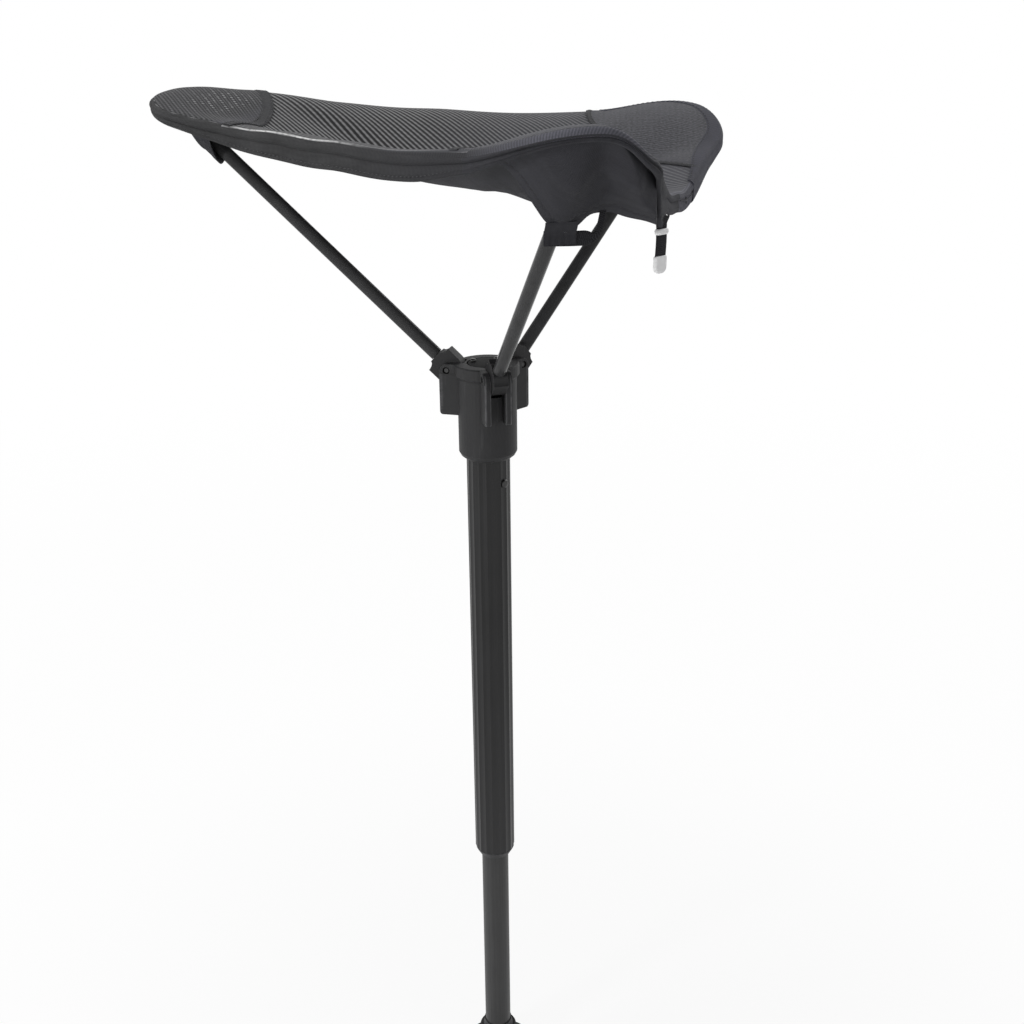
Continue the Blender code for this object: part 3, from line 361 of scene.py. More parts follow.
def grosgrain(name, dark, pale, pitch=0.00095, fade=None):
    """The binding, seam tapes and the front lobe's fold: a bluish cloth with fine ribs across it.

    fade gives the two places along x between which it comes up out of the hem's colour, and the places along
    y where it sinks back into it and comes up again: on the fold, painted shade over its painted highlight.
    """
    finish = Finish(name, specular_ior_level=0.12, sheen_weight=0.04, sheen_roughness=0.4)
    rib = finish.cloth.split()[0].rib(pitch)
    yarn = finish.cloth.noise(900.0, 2.0)
    patch = finish.cloth.noise(40.0, 4.0)
    height = rib * 0.6 + yarn * 0.4
    tone = (rib * 0.35 + yarn * 0.3 + patch * 0.4).step(0.2, 0.85).mix(dark, pale)
    # the fade sinks the fold to the hem's colour: painted shade on the right flank and front, over its
    # painted highlight
    if fade:
        x, y, _ = finish.place.split()
        painted_light_share = x.step(*fade[:2]) * (1.0 - y.step(*fade[2:4]) * y.fall(*fade[4:]))
        tone = painted_light_share.mix(grey(0.034, 0.08), tone)
    return finish.set(
        base_color=tone,
        roughness=0.84 - rib * 0.10,
        normal=height.bump(0.00016),
    )


def narrow_webbing():
    """The pulls: a tight herringbone of dark yarn, its ribs bent to vees by a folded cosine."""
    pitch, lean = 0.0010, 4.0 / (2.0 * math.pi)
    finish = Finish("dark_webbing", specular_ior_level=0.12, sheen_weight=0.03)
    u, v, _ = finish.cloth.split()
    weave = (u + abs(v.wave(0.0060)) * (lean * pitch)).rib(pitch)
    yarn = finish.cloth.noise(1100.0, 2.0)
    height = weave + yarn * 0.4
    return finish.set(
        base_color=(weave * 0.6 + yarn * 0.35).mix(grey(0.011, 0.1), grey(0.034, 0.14)),
        roughness=0.82 - weave * 0.14,
        normal=height.bump(0.0003),
    )


def sewing_thread(name, level, blue):
    """Twisted thread: light and dark flecks along each dash."""
    finish = Finish(name, specular_ior_level=0.4)
    twist = finish.place.noise(2600.0, 1.0)
    return finish.set(
        base_color=twist.mix(grey(level * 0.55, blue), grey(level * 1.3, blue)),
        roughness=0.55 + twist * 0.2,
    )


# Finishes of the frame

def moulded(name, level, rough, shine=0.22, edge=None, blue=0.04):
    """Spark-eroded moulding: fine grain, cloudy gloss, handling marks, and pale edges where given: rubbed
    wear and painted highlight.
    """
    finish = Finish(name, specular_ior_level=shine)
    grain = finish.place.noise(2400.0, 2.0)
    cloud = finish.place.noise(60.0, 4.0)
    scuff = finish.place.noise(340.0, 3.0, (1.0, 1.0, 0.12)).step(0.60, 0.74)
    tone = cloud.mix(grey(level * 0.8, blue), grey(level * 1.25, blue))
    tone = (scuff * 0.35).mix(tone, grey(level * 2.2, blue))
    if edge:
        # pale edge lines: rubbed wear broken by noise, and partly a painted highlight on the boss edges
        pale_line = edge(finish) * finish.place.noise(180.0, 3.0).step(0.25, 0.6)
        tone = pale_line.mix(tone, grey(level * 4.4, blue))
    return finish.set(
        base_color=tone,
        roughness=rough + cloud * 0.14 - scuff * 0.08,
        normal=grain.bump(0.00006, 0.6),
    )


def boss_edge_wear_and_highlights(finish):
    """Lines on the bosses' upright cheek edges, each side, outside the round body: rubbed wear and painted
    highlight.
    """
    x, y, _ = finish.place.split()
    lines = []
    for azimuth in LOBES.values():
        out, side = turned(x, y, azimuth)
        outer = abs(side).close_to(0.00790, 0.0002, 0.0006)
        inner = abs(side).close_to(0.00490, 0.0001, 0.0004)
        lines.append((outer + inner * 0.8) * out.step(0.0262, 0.0275))
    return sum(lines) * 0.8


def anodised(name, dark, pale, rough, rubbed, lines=True, shine=0.35):
    """Drawn and anodised tube: fine lines along the post's tubes, uneven gloss, and rubbing where given."""
    finish = Finish(name, metallic=0.2 if lines else 0.0, specular_ior_level=shine)
    drawn = finish.place.noise(900.0, 3.0, (1.0, 1.0, 0.012)) if lines else finish.place.noise(70.0, 3.0)
    cloud = finish.place.noise(35.0, 4.0)
    tone = (drawn * 0.6 + cloud * 0.4).step(0.25, 0.8).mix(dark, pale)
    mark = rubbed(finish)
    worn = (*(1.9 * part for part in pale[:3]), 1.0)
    if lines:
        finish.set(normal=drawn.bump(0.00003, 0.6))
    return finish.set(
        base_color=mark.mix(tone, worn),
        roughness=rough + cloud * 0.08 + drawn * 0.05 - mark * 0.08,
    )


def tube_dust(finish):
    """A greyer cast towards the tube's lower end, and a few short scuffs."""
    height = finish.place.split()[2]
    scuffs = finish.place.noise(120.0, 4.0, (1.0, 1.0, 0.2)).step(0.66, 0.76)
    return height.fall(0.17, 0.38) * 0.45 + scuffs * 0.15


def leg_scratches(finish):
    """Rings and long scratches that the guide bush leaves on the leg, strongest near the tube's end."""
    near = finish.place.split()[2].step(0.02, 0.17)
    rings = finish.place.noise(90.0, 3.0, (0.05, 0.05, 6.0)).step(0.62, 0.72)
    lines = finish.place.noise(700.0, 2.0, (1.0, 1.0, 0.02)).step(0.66, 0.74)
    return (rings * 0.25 + lines * 0.45) * (0.25 + near * 0.75)


def strut_rubs(finish):
    """Small rubbed patches along the struts: the peaks of two noises, multiplied."""
    spots = finish.place.noise(48.0, 4.0).step(0.64, 0.76)
    return spots * finish.place.noise(300.0, 2.0).step(0.45, 0.70) * 0.25


def steel(name, level):
    """Blackened steel: a fine brushed grain and faint stains."""
    finish = Finish(name, metallic=1.0)
    brushed = finish.place.noise(1800.0, 2.0)
    stain = finish.place.noise(300.0, 3.0)
    return finish.set(
        base_color=stain.mix(grey(level * 0.75), grey(level * 1.15)),
        roughness=0.24 + brushed * 0.2,
        normal=brushed.bump(0.00003, 0.5),
    )


def boot_rubber():
    """Matt rubber with a bloom of dust that thickens towards the floor."""
    finish = Finish("foot_rubber_bloom", specular_ior_level=0.3)
    height = finish.place.split()[2]
    grain = finish.place.noise(1200.0, 3.0)
    cloud = finish.place.noise(70.0, 4.0)
    dust = height.fall(0.0, 0.016) * cloud.step(0.35, 0.7)
    tone = cloud.mix(grey(0.014), grey(0.024))
    return finish.set(
        base_color=(dust * 0.5).mix(tone, (0.085, 0.080, 0.072, 1.0)),
        roughness=0.78 + cloud * 0.14,
        normal=grain.bump(0.0001, 0.6),
    )


RIDGED_MESH = ridged_mesh()
DOTTED_MESH = dotted_mesh()
PLAIN_WEAVE = plain_weave()
HEM_CLOTH = hem_cloth()
GROSGRAIN = grosgrain("bluish_binding", grey(0.038, 0.16), grey(0.078, 0.28))
SEAM_TAPE = grosgrain("seam_tape", grey(0.030, 0.05), grey(0.060, 0.08))
# The fold knit is paler than the mesh that wraps over the fold, a painted highlight along the rim; its fade
# is painted shade
FOLD_PAINTED_SHADE_SPAN = (0.030, 0.090, -0.172, -0.140, -0.090, -0.060)
FOLD_KNIT_PAINTED_LIGHT = grosgrain("fold_knit_painted_light", grey(0.080, 0.16), grey(0.134, 0.20), 0.0014, FOLD_PAINTED_SHADE_SPAN)
WEBBING = narrow_webbing()
DARK_THREAD = sewing_thread("dark_thread", 0.028, 0.10)
PALE_THREAD = sewing_thread("pale_thread", 0.45, 0.05)
PALE_PLASTIC = moulded("pale_pull_plastic", 1.10, 0.42, shine=0.4, blue=0.01)
HUB_PLASTIC = moulded("hub_moulding", 0.026, 0.50, edge=boss_edge_wear_and_highlights)
# The cap is the hub's plastic made darker and less shiny: painted shade on a top that is lit from above
CAP_PLASTIC_PAINTED_SHADE = moulded("cap_moulding_painted_shade", 0.014, 0.60, shine=0.10)
KNUCKLE_PLASTIC = moulded("knuckle_moulding", 0.018, 0.46)
LOCK_PLASTIC = moulded("lock_moulding", 0.045, 0.48)
OUTER_TUBE = anodised("black_drawn_tube", grey(0.009, 0.03), grey(0.017, 0.04), 0.36, tube_dust)
STRUT_TUBE = anodised(
    "black_strut_tube", grey(0.046, 0.02), grey(0.064, 0.03), 0.03, strut_rubs, lines=False, shine=0.04)
LEG_TUBE = anodised("grey_leg_tube", grey(0.035, 0.01), grey(0.051, 0.01), 0.40, leg_scratches)
DARK_STEEL = steel("blackened_pin_steel", 0.055)
BOOT = boot_rubber()

NODE_FINISHES = {
    "hub_body": HUB_PLASTIC, "hub_cap": CAP_PLASTIC_PAINTED_SHADE,
    "knuckle": KNUCKLE_PLASTIC, "strut_tip": KNUCKLE_PLASTIC,
    "strut": STRUT_TUBE, "outer_tube": OUTER_TUBE, "leg_tube": LEG_TUBE,
    "tube_bush": LOCK_PLASTIC, "leg_plug": LOCK_PLASTIC, "lock_expander": LOCK_PLASTIC,
    "foot_socket": LOCK_PLASTIC, "foot_boot": BOOT,
    "cap_screw": DARK_STEEL, "pivot_pin": DARK_STEEL, "tube_rivet": DARK_STEEL, "lock_stud": DARK_STEEL,
}
for name, node in NODES.items():
    finish = NODE_FINISHES.get(name) or NODE_FINISHES.get(name.rstrip("_0123456789"))
    if finish:
        node.data.materials.clear()
        node.data.materials.append(finish)


# Curves and directions

def ease(share):
    """A smooth step from 0 to 1."""
    share = np.clip(share, 0.0, 1.0)
    return share * share * (3.0 - 2.0 * share)


def blend(first, last, share):
    """A straight blend from the first value to the last."""
    return first + (last - first) * share


def bell(place, middle, width):
    """A bell curve: 1 at the middle, and about a third one width away."""
    return np.exp(-((place - middle) / width) ** 2)


def plateau(place, start, rise, end, fall):
    """0, then a smooth rise to 1 from the start, and a smooth fall back to 0 from the end."""
    return ease((place - start) / rise) * (1.0 - ease((place - end) / fall))


def unit(vectors):
    """The vectors brought to length 1."""
    return vectors / np.linalg.norm(vectors, axis=-1, keepdims=True)


def ray(azimuth):
    """The direction of an azimuth in plan."""
    return np.stack([np.cos(np.radians(azimuth)), np.sin(np.radians(azimuth))], -1)


def azimuth_of(x, y):
    """The azimuth of a place in plan."""
    return np.degrees(np.arctan2(y, x))


def turn_from(azimuth, other):
    """Degrees from another azimuth, within 180 either way."""
    return (azimuth - other + 180.0) % 360.0 - 180.0


def from_lobe(azimuth):
    """Degrees from the nearest lobe's axis, within 60 either way."""
    return azimuth % 120.0 - 60.0


def crowd(azimuth):
    """Even azimuths moved closer together at the lobes, where the rim turns most."""
    return azimuth - np.degrees(LOBE_CROWDING * np.sin(np.radians(3.0 * from_lobe(azimuth))) / 3.0)


def lengths(points, axis):
    """Running length of a grid's lines along an axis, in metres."""
    steps = np.linalg.norm(np.diff(points, axis=axis), axis=-1)
    start = np.zeros_like(np.take(steps, [0], axis=axis))
    return np.concatenate([start, np.cumsum(steps, axis=axis)], axis=axis)


# The sling's form

def rim_radius(azimuth):
    """The rim's distance from the post: round lobe ends, joined by shallow hollow sides tangent to them.

    The rear lobe's right shoulder is drawn in by a bell curve.
    """
    along, across = LOBE_CENTRE * math.cos(math.pi / 3), LOBE_CENTRE * math.sin(math.pi / 3)
    ahead = SIDE_REACH - along
    side = (ahead ** 2 + across ** 2 - LOBE_RADIUS ** 2) / (2.0 * (LOBE_RADIUS - ahead))
    centre = SIDE_REACH + side
    away = math.hypot(centre - along, across)
    meet = math.atan2(across - LOBE_RADIUS * across / away, along + LOBE_RADIUS * (centre - along) / away)
    turn = np.radians(np.abs(from_lobe(azimuth)))
    swing = math.pi / 3 - turn
    round_end = np.sqrt(np.maximum(0.0, LOBE_RADIUS ** 2 - (LOBE_CENTRE * np.sin(turn)) ** 2))
    hollow = np.sqrt(np.maximum(0.0, side ** 2 - (centre * np.sin(swing)) ** 2))
    even = np.where(swing >= meet, LOBE_CENTRE * np.cos(turn) + round_end, centre * np.cos(swing) - hollow)
    return even - REAR_TUCK * bell(turn_from(azimuth, REAR_TUCK_AT), 0.0, REAR_TUCK_SPREAD)


def rim_height(azimuth):
    """The rim's height above the pivots: a smooth closed curve through tips, shoulders and sides.

    Between two keys the tangents' lines at both are blended by a smooth step.
    """
    keys = np.concatenate([RIM_KEYS[-1:] - 360.0, RIM_KEYS, RIM_KEYS[:2] + 360.0])
    rises = np.concatenate([RIM_RISES[-1:], RIM_RISES, RIM_RISES[:2]]) + STRUT_UP
    slopes = np.zeros_like(rises)
    slopes[1:-1] = (rises[2:] - rises[:-2]) / (keys[2:] - keys[:-2])
    azimuth = (azimuth - RIM_KEYS[0]) % 360.0 + RIM_KEYS[0]
    spot = np.clip(np.searchsorted(keys, azimuth) - 1, 1, len(keys) - 3)
    span = keys[spot + 1] - keys[spot]
    share = (azimuth - keys[spot]) / span
    start = rises[spot] + share * span * slopes[spot]
    end = rises[spot + 1] - (1.0 - share) * span * slopes[spot + 1]
    return blend(start, end, ease(share))


def seat_top(x, y):
    """The sling's top at a place in plan: an S-shaped rise to the rim, less a hollow on the slack right."""
    azimuth = azimuth_of(x, y)
    share = np.minimum(1.0, np.hypot(x, y) / rim_radius(azimuth))
    rise = (rim_height(azimuth) - DISH_HEIGHT) * np.sin(math.pi * share / 2.0) ** 2
    rightward = np.maximum(0.0, np.cos(np.radians(azimuth)))
    dip = RIGHT_DIP * (rightward * np.sin(math.pi * share)) ** 2
    return PIVOT_HEIGHT + DISH_HEIGHT + rise - dip


def wrinkles(x, y):
    """Slight tension ripples that run inwards from each lobe and fade before the middle."""
    ripple = np.zeros_like(x)
    for azimuth, phase in zip(LOBES.values(), (0.3, 1.7, 2.9)):
        out, side = turned(x, y, azimuth)
        fade = plateau(out, 0.045, 0.05, 0.120, 0.03) * bell(side, 0.0, 0.035)
        ripple += RIPPLE * fade * np.cos(side / 0.0052 + phase)
    return ripple


def cloth_top(x, y):
    """The sling's top with its ripples."""
    return seat_top(x, y) + wrinkles(x, y)


def steepness(x, y, most):
    """The length of cloth over a unit of plan, from the top's slope, up to a limit."""
    step = 0.0006
    along_x = (seat_top(x + step, y) - seat_top(x - step, y)) / (2.0 * step)
    along_y = (seat_top(x, y + step) - seat_top(x, y - step)) / (2.0 * step)
    return np.minimum(most, np.sqrt(1.0 + along_x ** 2 + along_y ** 2))


def under_sling(x, y):
    """Just below the CAD panel's lower face."""
    return seat_top(x, y) - PANEL_DEPTH * steepness(x, y, 1.6)


def rim_curve(azimuth):
    """The rim in plan, and its outward normal, at right angles to the curve's direction."""
    def at(angle):
        """The rim's point at an azimuth."""
        return rim_radius(angle)[..., None] * ray(angle)

    ahead = unit(at(azimuth + 0.05) - at(azimuth - 0.05))
    return at(azimuth), np.stack([ahead[..., 1], -ahead[..., 0]], -1)


def along_rim(azimuth, out, down):
    """Carry a profile round the rim: out along the rim's normal, down from the sling's top there."""
    point, normal = rim_curve(azimuth)
    out, down = np.broadcast_arrays(np.atleast_2d(out), np.atleast_2d(down))
    plan = point[:, None] + normal[:, None] * out[..., None]
    top = point[:, None] + normal[:, None] * np.minimum(out, -SHOULDER)[..., None]
    return np.concatenate([plan, (seat_top(top[..., 0], top[..., 1]) - down)[..., None]], -1)


def rim_run(azimuth):
    """Running length along the rim's shoulder, one row for each azimuth."""
    return lengths(along_rim(azimuth, -SHOULDER, 0.0)[:, 0], 0)[:, None]


def hem_depth(azimuth):
    """How far the hem's lower edge hangs below the sling's top.

    Little at the lobes, more along the sides and most at the tab; the front side's hem is a deeper one.
    """
    side = ease((np.abs(from_lobe(azimuth)) - 5.0) / 24.0)
    past = turn_from(azimuth, TAB_AZIMUTH)
    sag = HEM_SAG * (1.0 - ease(np.maximum(past / 13.0, -past / 14.0)))
    deeper = FRONT_HEM_EXTRA * plateau(turn_from(azimuth, FRONT_SIDE), -38.0, 20.0, 28.0, 30.0)
    return blend(*HEM_DEPTHS, side) + sag + deeper


def hem_start(azimuth):
    """How far below the sling's top the hem begins: just over the fold, but lower round the front lobe."""
    return blend(*HEM_STARTS, plateau(turn_from(azimuth, LOBES["front"]), -45.0, 30.0, 14.0, 20.0))


# Meshes

def add_object(name, data):
    """An object in the scene with that data."""
    made = bpy.data.objects.new(name, data)
    bpy.context.scene.collection.objects.link(made)
    return made


def put(name, mesh, finishes):
    """A finished piece at the origin, riding on the seat."""
    for finish in finishes:
        mesh.materials.append(finish)
    piece = add_object(name, mesh)
    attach(piece, "seat")
    return piece


def shell(name, grid, finishes, uv, around=False, closed=True, slots=0, sharp=50.0):
    """A mesh on a grid of points, rows by columns.

    around joins the last row to the first; closed joins the last column to the first, and the open ends of a
    closed one get caps. Coincident points are merged. slots gives the faces' material indices.
    """
    rows, columns = grid.shape[:2]
    i = np.arange(rows if around else rows - 1)[:, None]
    j = np.arange(columns if closed else columns - 1)[None, :]
    next_i, next_j = (i + 1) % rows, (j + 1) % columns
    corners = ((i, j), (i, next_j), (next_i, next_j), (next_i, j))
    quads = np.stack([row * columns + column for row, column in corners], -1)
    spots = np.stack([uv[i, j], uv[i, j + 1], uv[i + 1, j + 1], uv[i + 1, j]], 2).reshape(-1, 2)
    faces = quads.reshape(-1, 4).tolist()
    index = np.broadcast_to(slots, quads.shape[:2]).reshape(-1)
    if closed and not around:
        ring = np.arange(columns)
        faces += [ring[::-1].tolist(), (ring + (rows - 1) * columns).tolist()]
        spots = np.concatenate([spots, uv[0, ring[::-1]], uv[-1, ring]])
        index = np.append(index, [0, 0])
    mesh = bpy.data.meshes.new(name)
    mesh.from_pydata(grid.reshape(-1, 3).tolist(), [], faces)
    mesh.uv_layers.new(name="cloth").data.foreach_set("uv", spots.ravel().astype(np.float32))
    mesh.polygons.foreach_set("material_index", index.astype(np.int32))
    work = bmesh.new()
    work.from_mesh(mesh)
    bmesh.ops.remove_doubles(work, verts=work.verts, dist=1e-6)
    bmesh.ops.dissolve_degenerate(work, edges=work.edges, dist=1e-7)
    if work.calc_volume(signed=True) < 0.0:
        bmesh.ops.reverse_faces(work, faces=work.faces)
    work.to_mesh(mesh)
    work.free()
    mesh.shade_smooth()
    mesh.set_sharp_from_angle(angle=math.radians(sharp))
    return put(name, mesh, finishes)


def ribbon_uv(grid):
    """Length along a strip and across it, for each corner of a closed profile carried along the rows."""
    ring = np.concatenate([grid, grid[:, :1]], 1)
    return np.stack([np.repeat(lengths(ring, 0)[:, :1], ring.shape[1], 1), lengths(ring, 1)], -1)


def both_sides(flat):
    """A flat map for each corner of a closed strip, the same on its face and its back."""
    return np.concatenate([flat, flat[:, ::-1], flat[:, :1]], 1)


def beside(*parts):
    """Parts of a profile joined side by side; a part with one row is repeated down the others' rows."""
    rows = max(len(np.atleast_2d(part)) for part in parts)
    return np.concatenate([np.broadcast_to(part, (rows, np.shape(part)[-1])) for part in parts], 1)


def strip(face, back):
    """A closed thin profile: the face's points, then the back's points returning."""
    return np.concatenate([face, back[:, ::-1]], 1)


def laid_on_sling(x, y, lift, gap):
    """A closed thin strip over those places: its face at a lift above the sling, its back just off it."""
    base = cloth_top(x, y)
    return strip(np.dstack([x, y, base + lift]), np.dstack([x, y, base + gap]))


def stitch_row(path, up=None):
    """Stitches at an even pitch along a line: their places, directions and normals.

    up is the normal of them all. Without it each stitch stands out sideways from the line.
    """
    run = lengths(path, 0)
    count = max(2, int(run[-1] / STITCH_PITCH))
    middles = (np.arange(count) + 0.5) * run[-1] / count

    def at(places):
        """Points at those lengths along the line."""
        return np.stack([np.interp(places, run, path[:, axis]) for axis in range(3)], -1)

    way = unit(at(middles + 0.0004) - at(middles - 0.0004))
    sideways = np.stack([way[:, 1], -way[:, 0], np.zeros(count)], -1)
    return at(middles), way, sideways if up is None else np.broadcast_to(up, way.shape)


def stitches(name, rows, finish, length=0.0025, width=0.00055, height=0.00042):
    """Thread dashes: a 24-faced ellipsoid at each place, along its row and standing on its normal."""
    stations, sides = np.linspace(-1.0, 1.0, 5)[1:-1], 6
    turn = np.arange(sides) * 2.0 * math.pi / sides
    ring = np.sqrt(1.0 - stations ** 2)[:, None]
    across, through = (ring * np.cos(turn)).ravel(), (ring * np.sin(turn)).ravel()
    middle = np.stack([np.repeat(stations, sides), across, through], -1)
    shape = np.concatenate([[[-1.0, 0.0, 0.0]], middle, [[1.0, 0.0, 0.0]]]) * (length / 2, width / 2, height)
    last = len(shape) - 1
    here = np.arange(sides) + 1
    after = np.roll(here, -1)
    ends = [np.stack([0 * here, after, here], -1), last - np.stack([0 * here, here, after], -1)]
    bands = [np.stack([here, after, after + sides, here + sides], -1) + start for start in (0, sides)]
    points, ways, ups = (np.concatenate(part) for part in zip(*rows))
    asides = unit(np.cross(ups, ways))
    axes = np.stack([ways, asides, np.cross(ways, asides)], 1)
    starts = np.arange(len(points))[:, None, None] * len(shape)
    triangles = (starts + np.concatenate(ends)).reshape(-1, 3).tolist()
    quads = (starts + np.concatenate(bands)).reshape(-1, 4).tolist()
    mesh = bpy.data.meshes.new(name)
    mesh.from_pydata((points[:, None] + shape @ axes).reshape(-1, 3).tolist(), [], triangles + quads)
    work = bmesh.new()
    work.from_mesh(mesh)
    bmesh.ops.recalc_face_normals(work, faces=work.faces)
    work.to_mesh(mesh)
    work.free()
    mesh.shade_smooth()
    return put(name, mesh, [finish])


# Sling

def sling():
    """The stretched seat: top, soft shoulder, wrapped edge and underside, as one closed surface.

    The spokes from the middle carry the top and the underside; quarter and half circles carry the edge.
    """
    azimuth = crowd(np.arange(SPOKES) * 360.0 / SPOKES)
    point, normal = rim_curve(azimuth)
    inset = point - normal * SHOULDER
    shares = np.concatenate([[0.0, 0.006], np.linspace(0.02, 1.0, 56)])
    plan, plan_below = inset[:, None] * shares[:, None], inset[:, None] * shares[::-2, None]
    x, y = np.moveaxis(plan, -1, 0)
    top = np.dstack([x, y, cloth_top(x, y)])
    x, y = np.moveaxis(plan_below, -1, 0)
    below = np.dstack([x, y, cloth_top(x, y) - SLING_THICKNESS * steepness(x, y, 1.5)])
    half, inner = SLING_THICKNESS / 2, SHOULDER - SLING_THICKNESS
    bend = np.radians(np.linspace(78.0, 0.0, 7))
    edge = np.radians(np.linspace(0.0, 180.0, 6))
    back = np.radians(np.linspace(0.0, 80.0, 4))
    out = np.concatenate([
        SHOULDER * np.cos(bend) - SHOULDER,
        [0.0003, 0.0002],
        half * np.cos(edge) - half,
        inner * np.cos(back) - SHOULDER,
    ])
    down = np.concatenate([
        SHOULDER - SHOULDER * np.sin(bend),
        blend(SHOULDER, WRAP_DEPTH, np.array([0.35, 0.7])),
        WRAP_DEPTH + half * np.sin(edge),
        SHOULDER - inner * np.sin(back),
    ])
    wrapped = along_rim(azimuth, out, down)
    grid = np.concatenate([top, wrapped, below], 1)
    reach = lengths(np.concatenate([top[:, -1:], wrapped], 1), 1)[:, 1:]
    uv = np.concatenate([plan, inset[:, None] + normal[:, None] * reach[..., None], plan_below], 1)
    past_top = np.arange(grid.shape[1] - 1)[None, :] - shares.size
    turn = azimuth[:, None] % 360.0
    near_left = (turn > RIDGED_FOLD[0]) & (turn < RIDGED_FOLD[1])
    ridged = past_top < RIDGED_FOLD_COLUMNS * near_left
    # the front and rear folds take the fold knit, whose paleness is a painted highlight
    bluish = (turn > BLUISH_FOLD[0]) | (turn < BLUISH_FOLD[1])
    underneath = past_top >= EDGE_COLUMNS
    slots = np.where(underneath, 1, np.where(ridged, 0, np.where(bluish, 2, 3)))
    finishes = [RIDGED_MESH, PLAIN_WEAVE, FOLD_KNIT_PAINTED_LIGHT, HEM_CLOTH]
    return shell("sling", grid, finishes, np.concatenate([uv, uv[:1]]),
                 around=True, closed=False, slots=slots)


def seam_arc(name, offset, sweep):
    """Plan points of a lobe's seam: an arc, bowed towards the middle, with its centre out along the lobe.

    offset is from the seam towards the middle, sweep from -1 to 1 between the ends, at the rim.
    """
    azimuth, foot, bend = SEAMS[name]
    centre, radius = foot + bend, bend + offset

    def at(swing):
        """The arc's point at an angle about its centre."""
        return turned(centre - radius * np.cos(swing), radius * np.sin(swing), -azimuth)

    trial = np.linspace(0.1, 1.3, 2401)
    ends = []
    for way in (-1.0, 1.0):
        x, y = at(way * trial)
        inside = rim_radius(azimuth_of(x, y)) - 0.8 * SHOULDER - np.hypot(x, y)
        ends.append(way * trial[np.argmax(inside < 0.0)])
    return at(blend(*ends, (sweep + 1.0) / 2.0))


def seam_distance(name, turn):
    """A seam's distance from the post at an azimuth: the near crossing of a ray and the arc."""
    azimuth, foot, bend = SEAMS[name]
    reach = (foot + bend) * np.cos(np.radians(turn - azimuth))
    return reach - np.sqrt(np.maximum(0.0, reach ** 2 - (foot + bend) ** 2 + bend ** 2))


def lobe_patch(name, azimuth):
    """The closer mesh over a lobe, from the seam's arc to the rim's shoulder, lying on the sling.

    Its lines run out from the seam along rays, crowded at both ends, and it thins towards the shoulder.
    """
    ends = azimuth + turn_from(azimuth_of(*seam_arc(name, 0.0, np.array([-1.0, 1.0]))), azimuth)
    turn = blend(*ends, (1.0 + np.sin(np.linspace(-math.pi / 2, math.pi / 2, 120))) / 2.0)
    point, normal = rim_curve(turn)
    outer = point - normal * SHOULDER
    start = np.minimum(seam_distance(name, turn), np.linalg.norm(outer, axis=-1) - 0.0005)
    share = np.linspace(0.0, 1.0, 36)
    inner = ray(turn) * start[:, None]
    x, y = np.moveaxis(blend(inner[:, None], outer[:, None], share[:, None]), -1, 0)
    grid = laid_on_sling(x, y, blend(*PATCH_LIFTS, ease((share - 0.88) / 0.12)), PATCH_GAP)
    along, across = turned(x, y, azimuth)
    uv = both_sides(np.stack([along - SEAMS[name][1], across], -1))
    return shell(f"lobe_patch_{name}", grid, [DOTTED_MESH], uv)


def seam_tape(name):
    """The tape along a lobe's seam: a low crown between two sunk stitch lines, puckered at its edges."""
    sweep = np.linspace(-1.0, 1.0, 110)
    shares = np.linspace(-1.0, 1.0, 13)
    x, y = np.stack([seam_arc(name, -share * TAPE_WIDTHS[name] / 2, sweep) for share in shares], -1)
    pucker = 0.00012 * np.cos(sweep[:, None] * 15.0 * math.pi) * np.abs(shares)
    crown = 0.0008 + 0.00020 * (1.0 - shares ** 4) - 0.00035 * bell(np.abs(shares), 0.72, 0.07)
    grid = laid_on_sling(x, y, crown + pucker, TAPE_GAP)
    return shell(f"seam_tape_{name}", grid, [SEAM_TAPE], ribbon_uv(grid))


def binding_width(turn):
    """How far the binding reaches in over the sling's top: most at the rear lobe's tip."""
    return blend(*BINDING_WIDTHS, ease((np.abs(turn_from(turn, LOBES["rear"])) - 16.0) / 20.0))


def lobe_binding():
    """The tape bound over the rear lobe's rim: a profile from the sling's top over to the lower edge."""
    turn = np.linspace(*BINDING_SPAN, 200)
    width = binding_width(turn)[:, None]
    depth = hem_depth(turn)[:, None] + 0.0004
    lift, radius = BINDING_LIFT, SHOULDER + BINDING_LIFT
    bend = np.radians(np.linspace(90.0, 0.0, 8))
    out = beside(
        blend(-width, -SHOULDER - 0.0002, np.linspace(0.0, 1.0, 7)),
        radius * np.cos(bend) - SHOULDER,
        [lift, lift - 0.0001, lift],
        [lift - 0.0004, lift - 0.0012, -0.0012, -0.0030],
    )
    down = beside(
        [-0.0007, -0.0010, -0.0010, -lift, -lift, -lift, -lift],
        SHOULDER - radius * np.sin(bend),
        blend(SHOULDER, depth, np.array([0.3, 0.55, 0.8])),
        depth + [-0.0002, 0.0003, 0.0005, 0.0004],
    )
    pucker = 0.00008 * np.cos(rim_run(turn) / STITCH_PITCH * 2.0 * math.pi)
    face = along_rim(turn, out, down - pucker)
    back = along_rim(turn, out - 0.0004 * np.sign(out + 0.0016), down + 0.0005)
    grid = strip(face, back)
    return shell("lobe_binding", grid, [GROSGRAIN], ribbon_uv(grid))


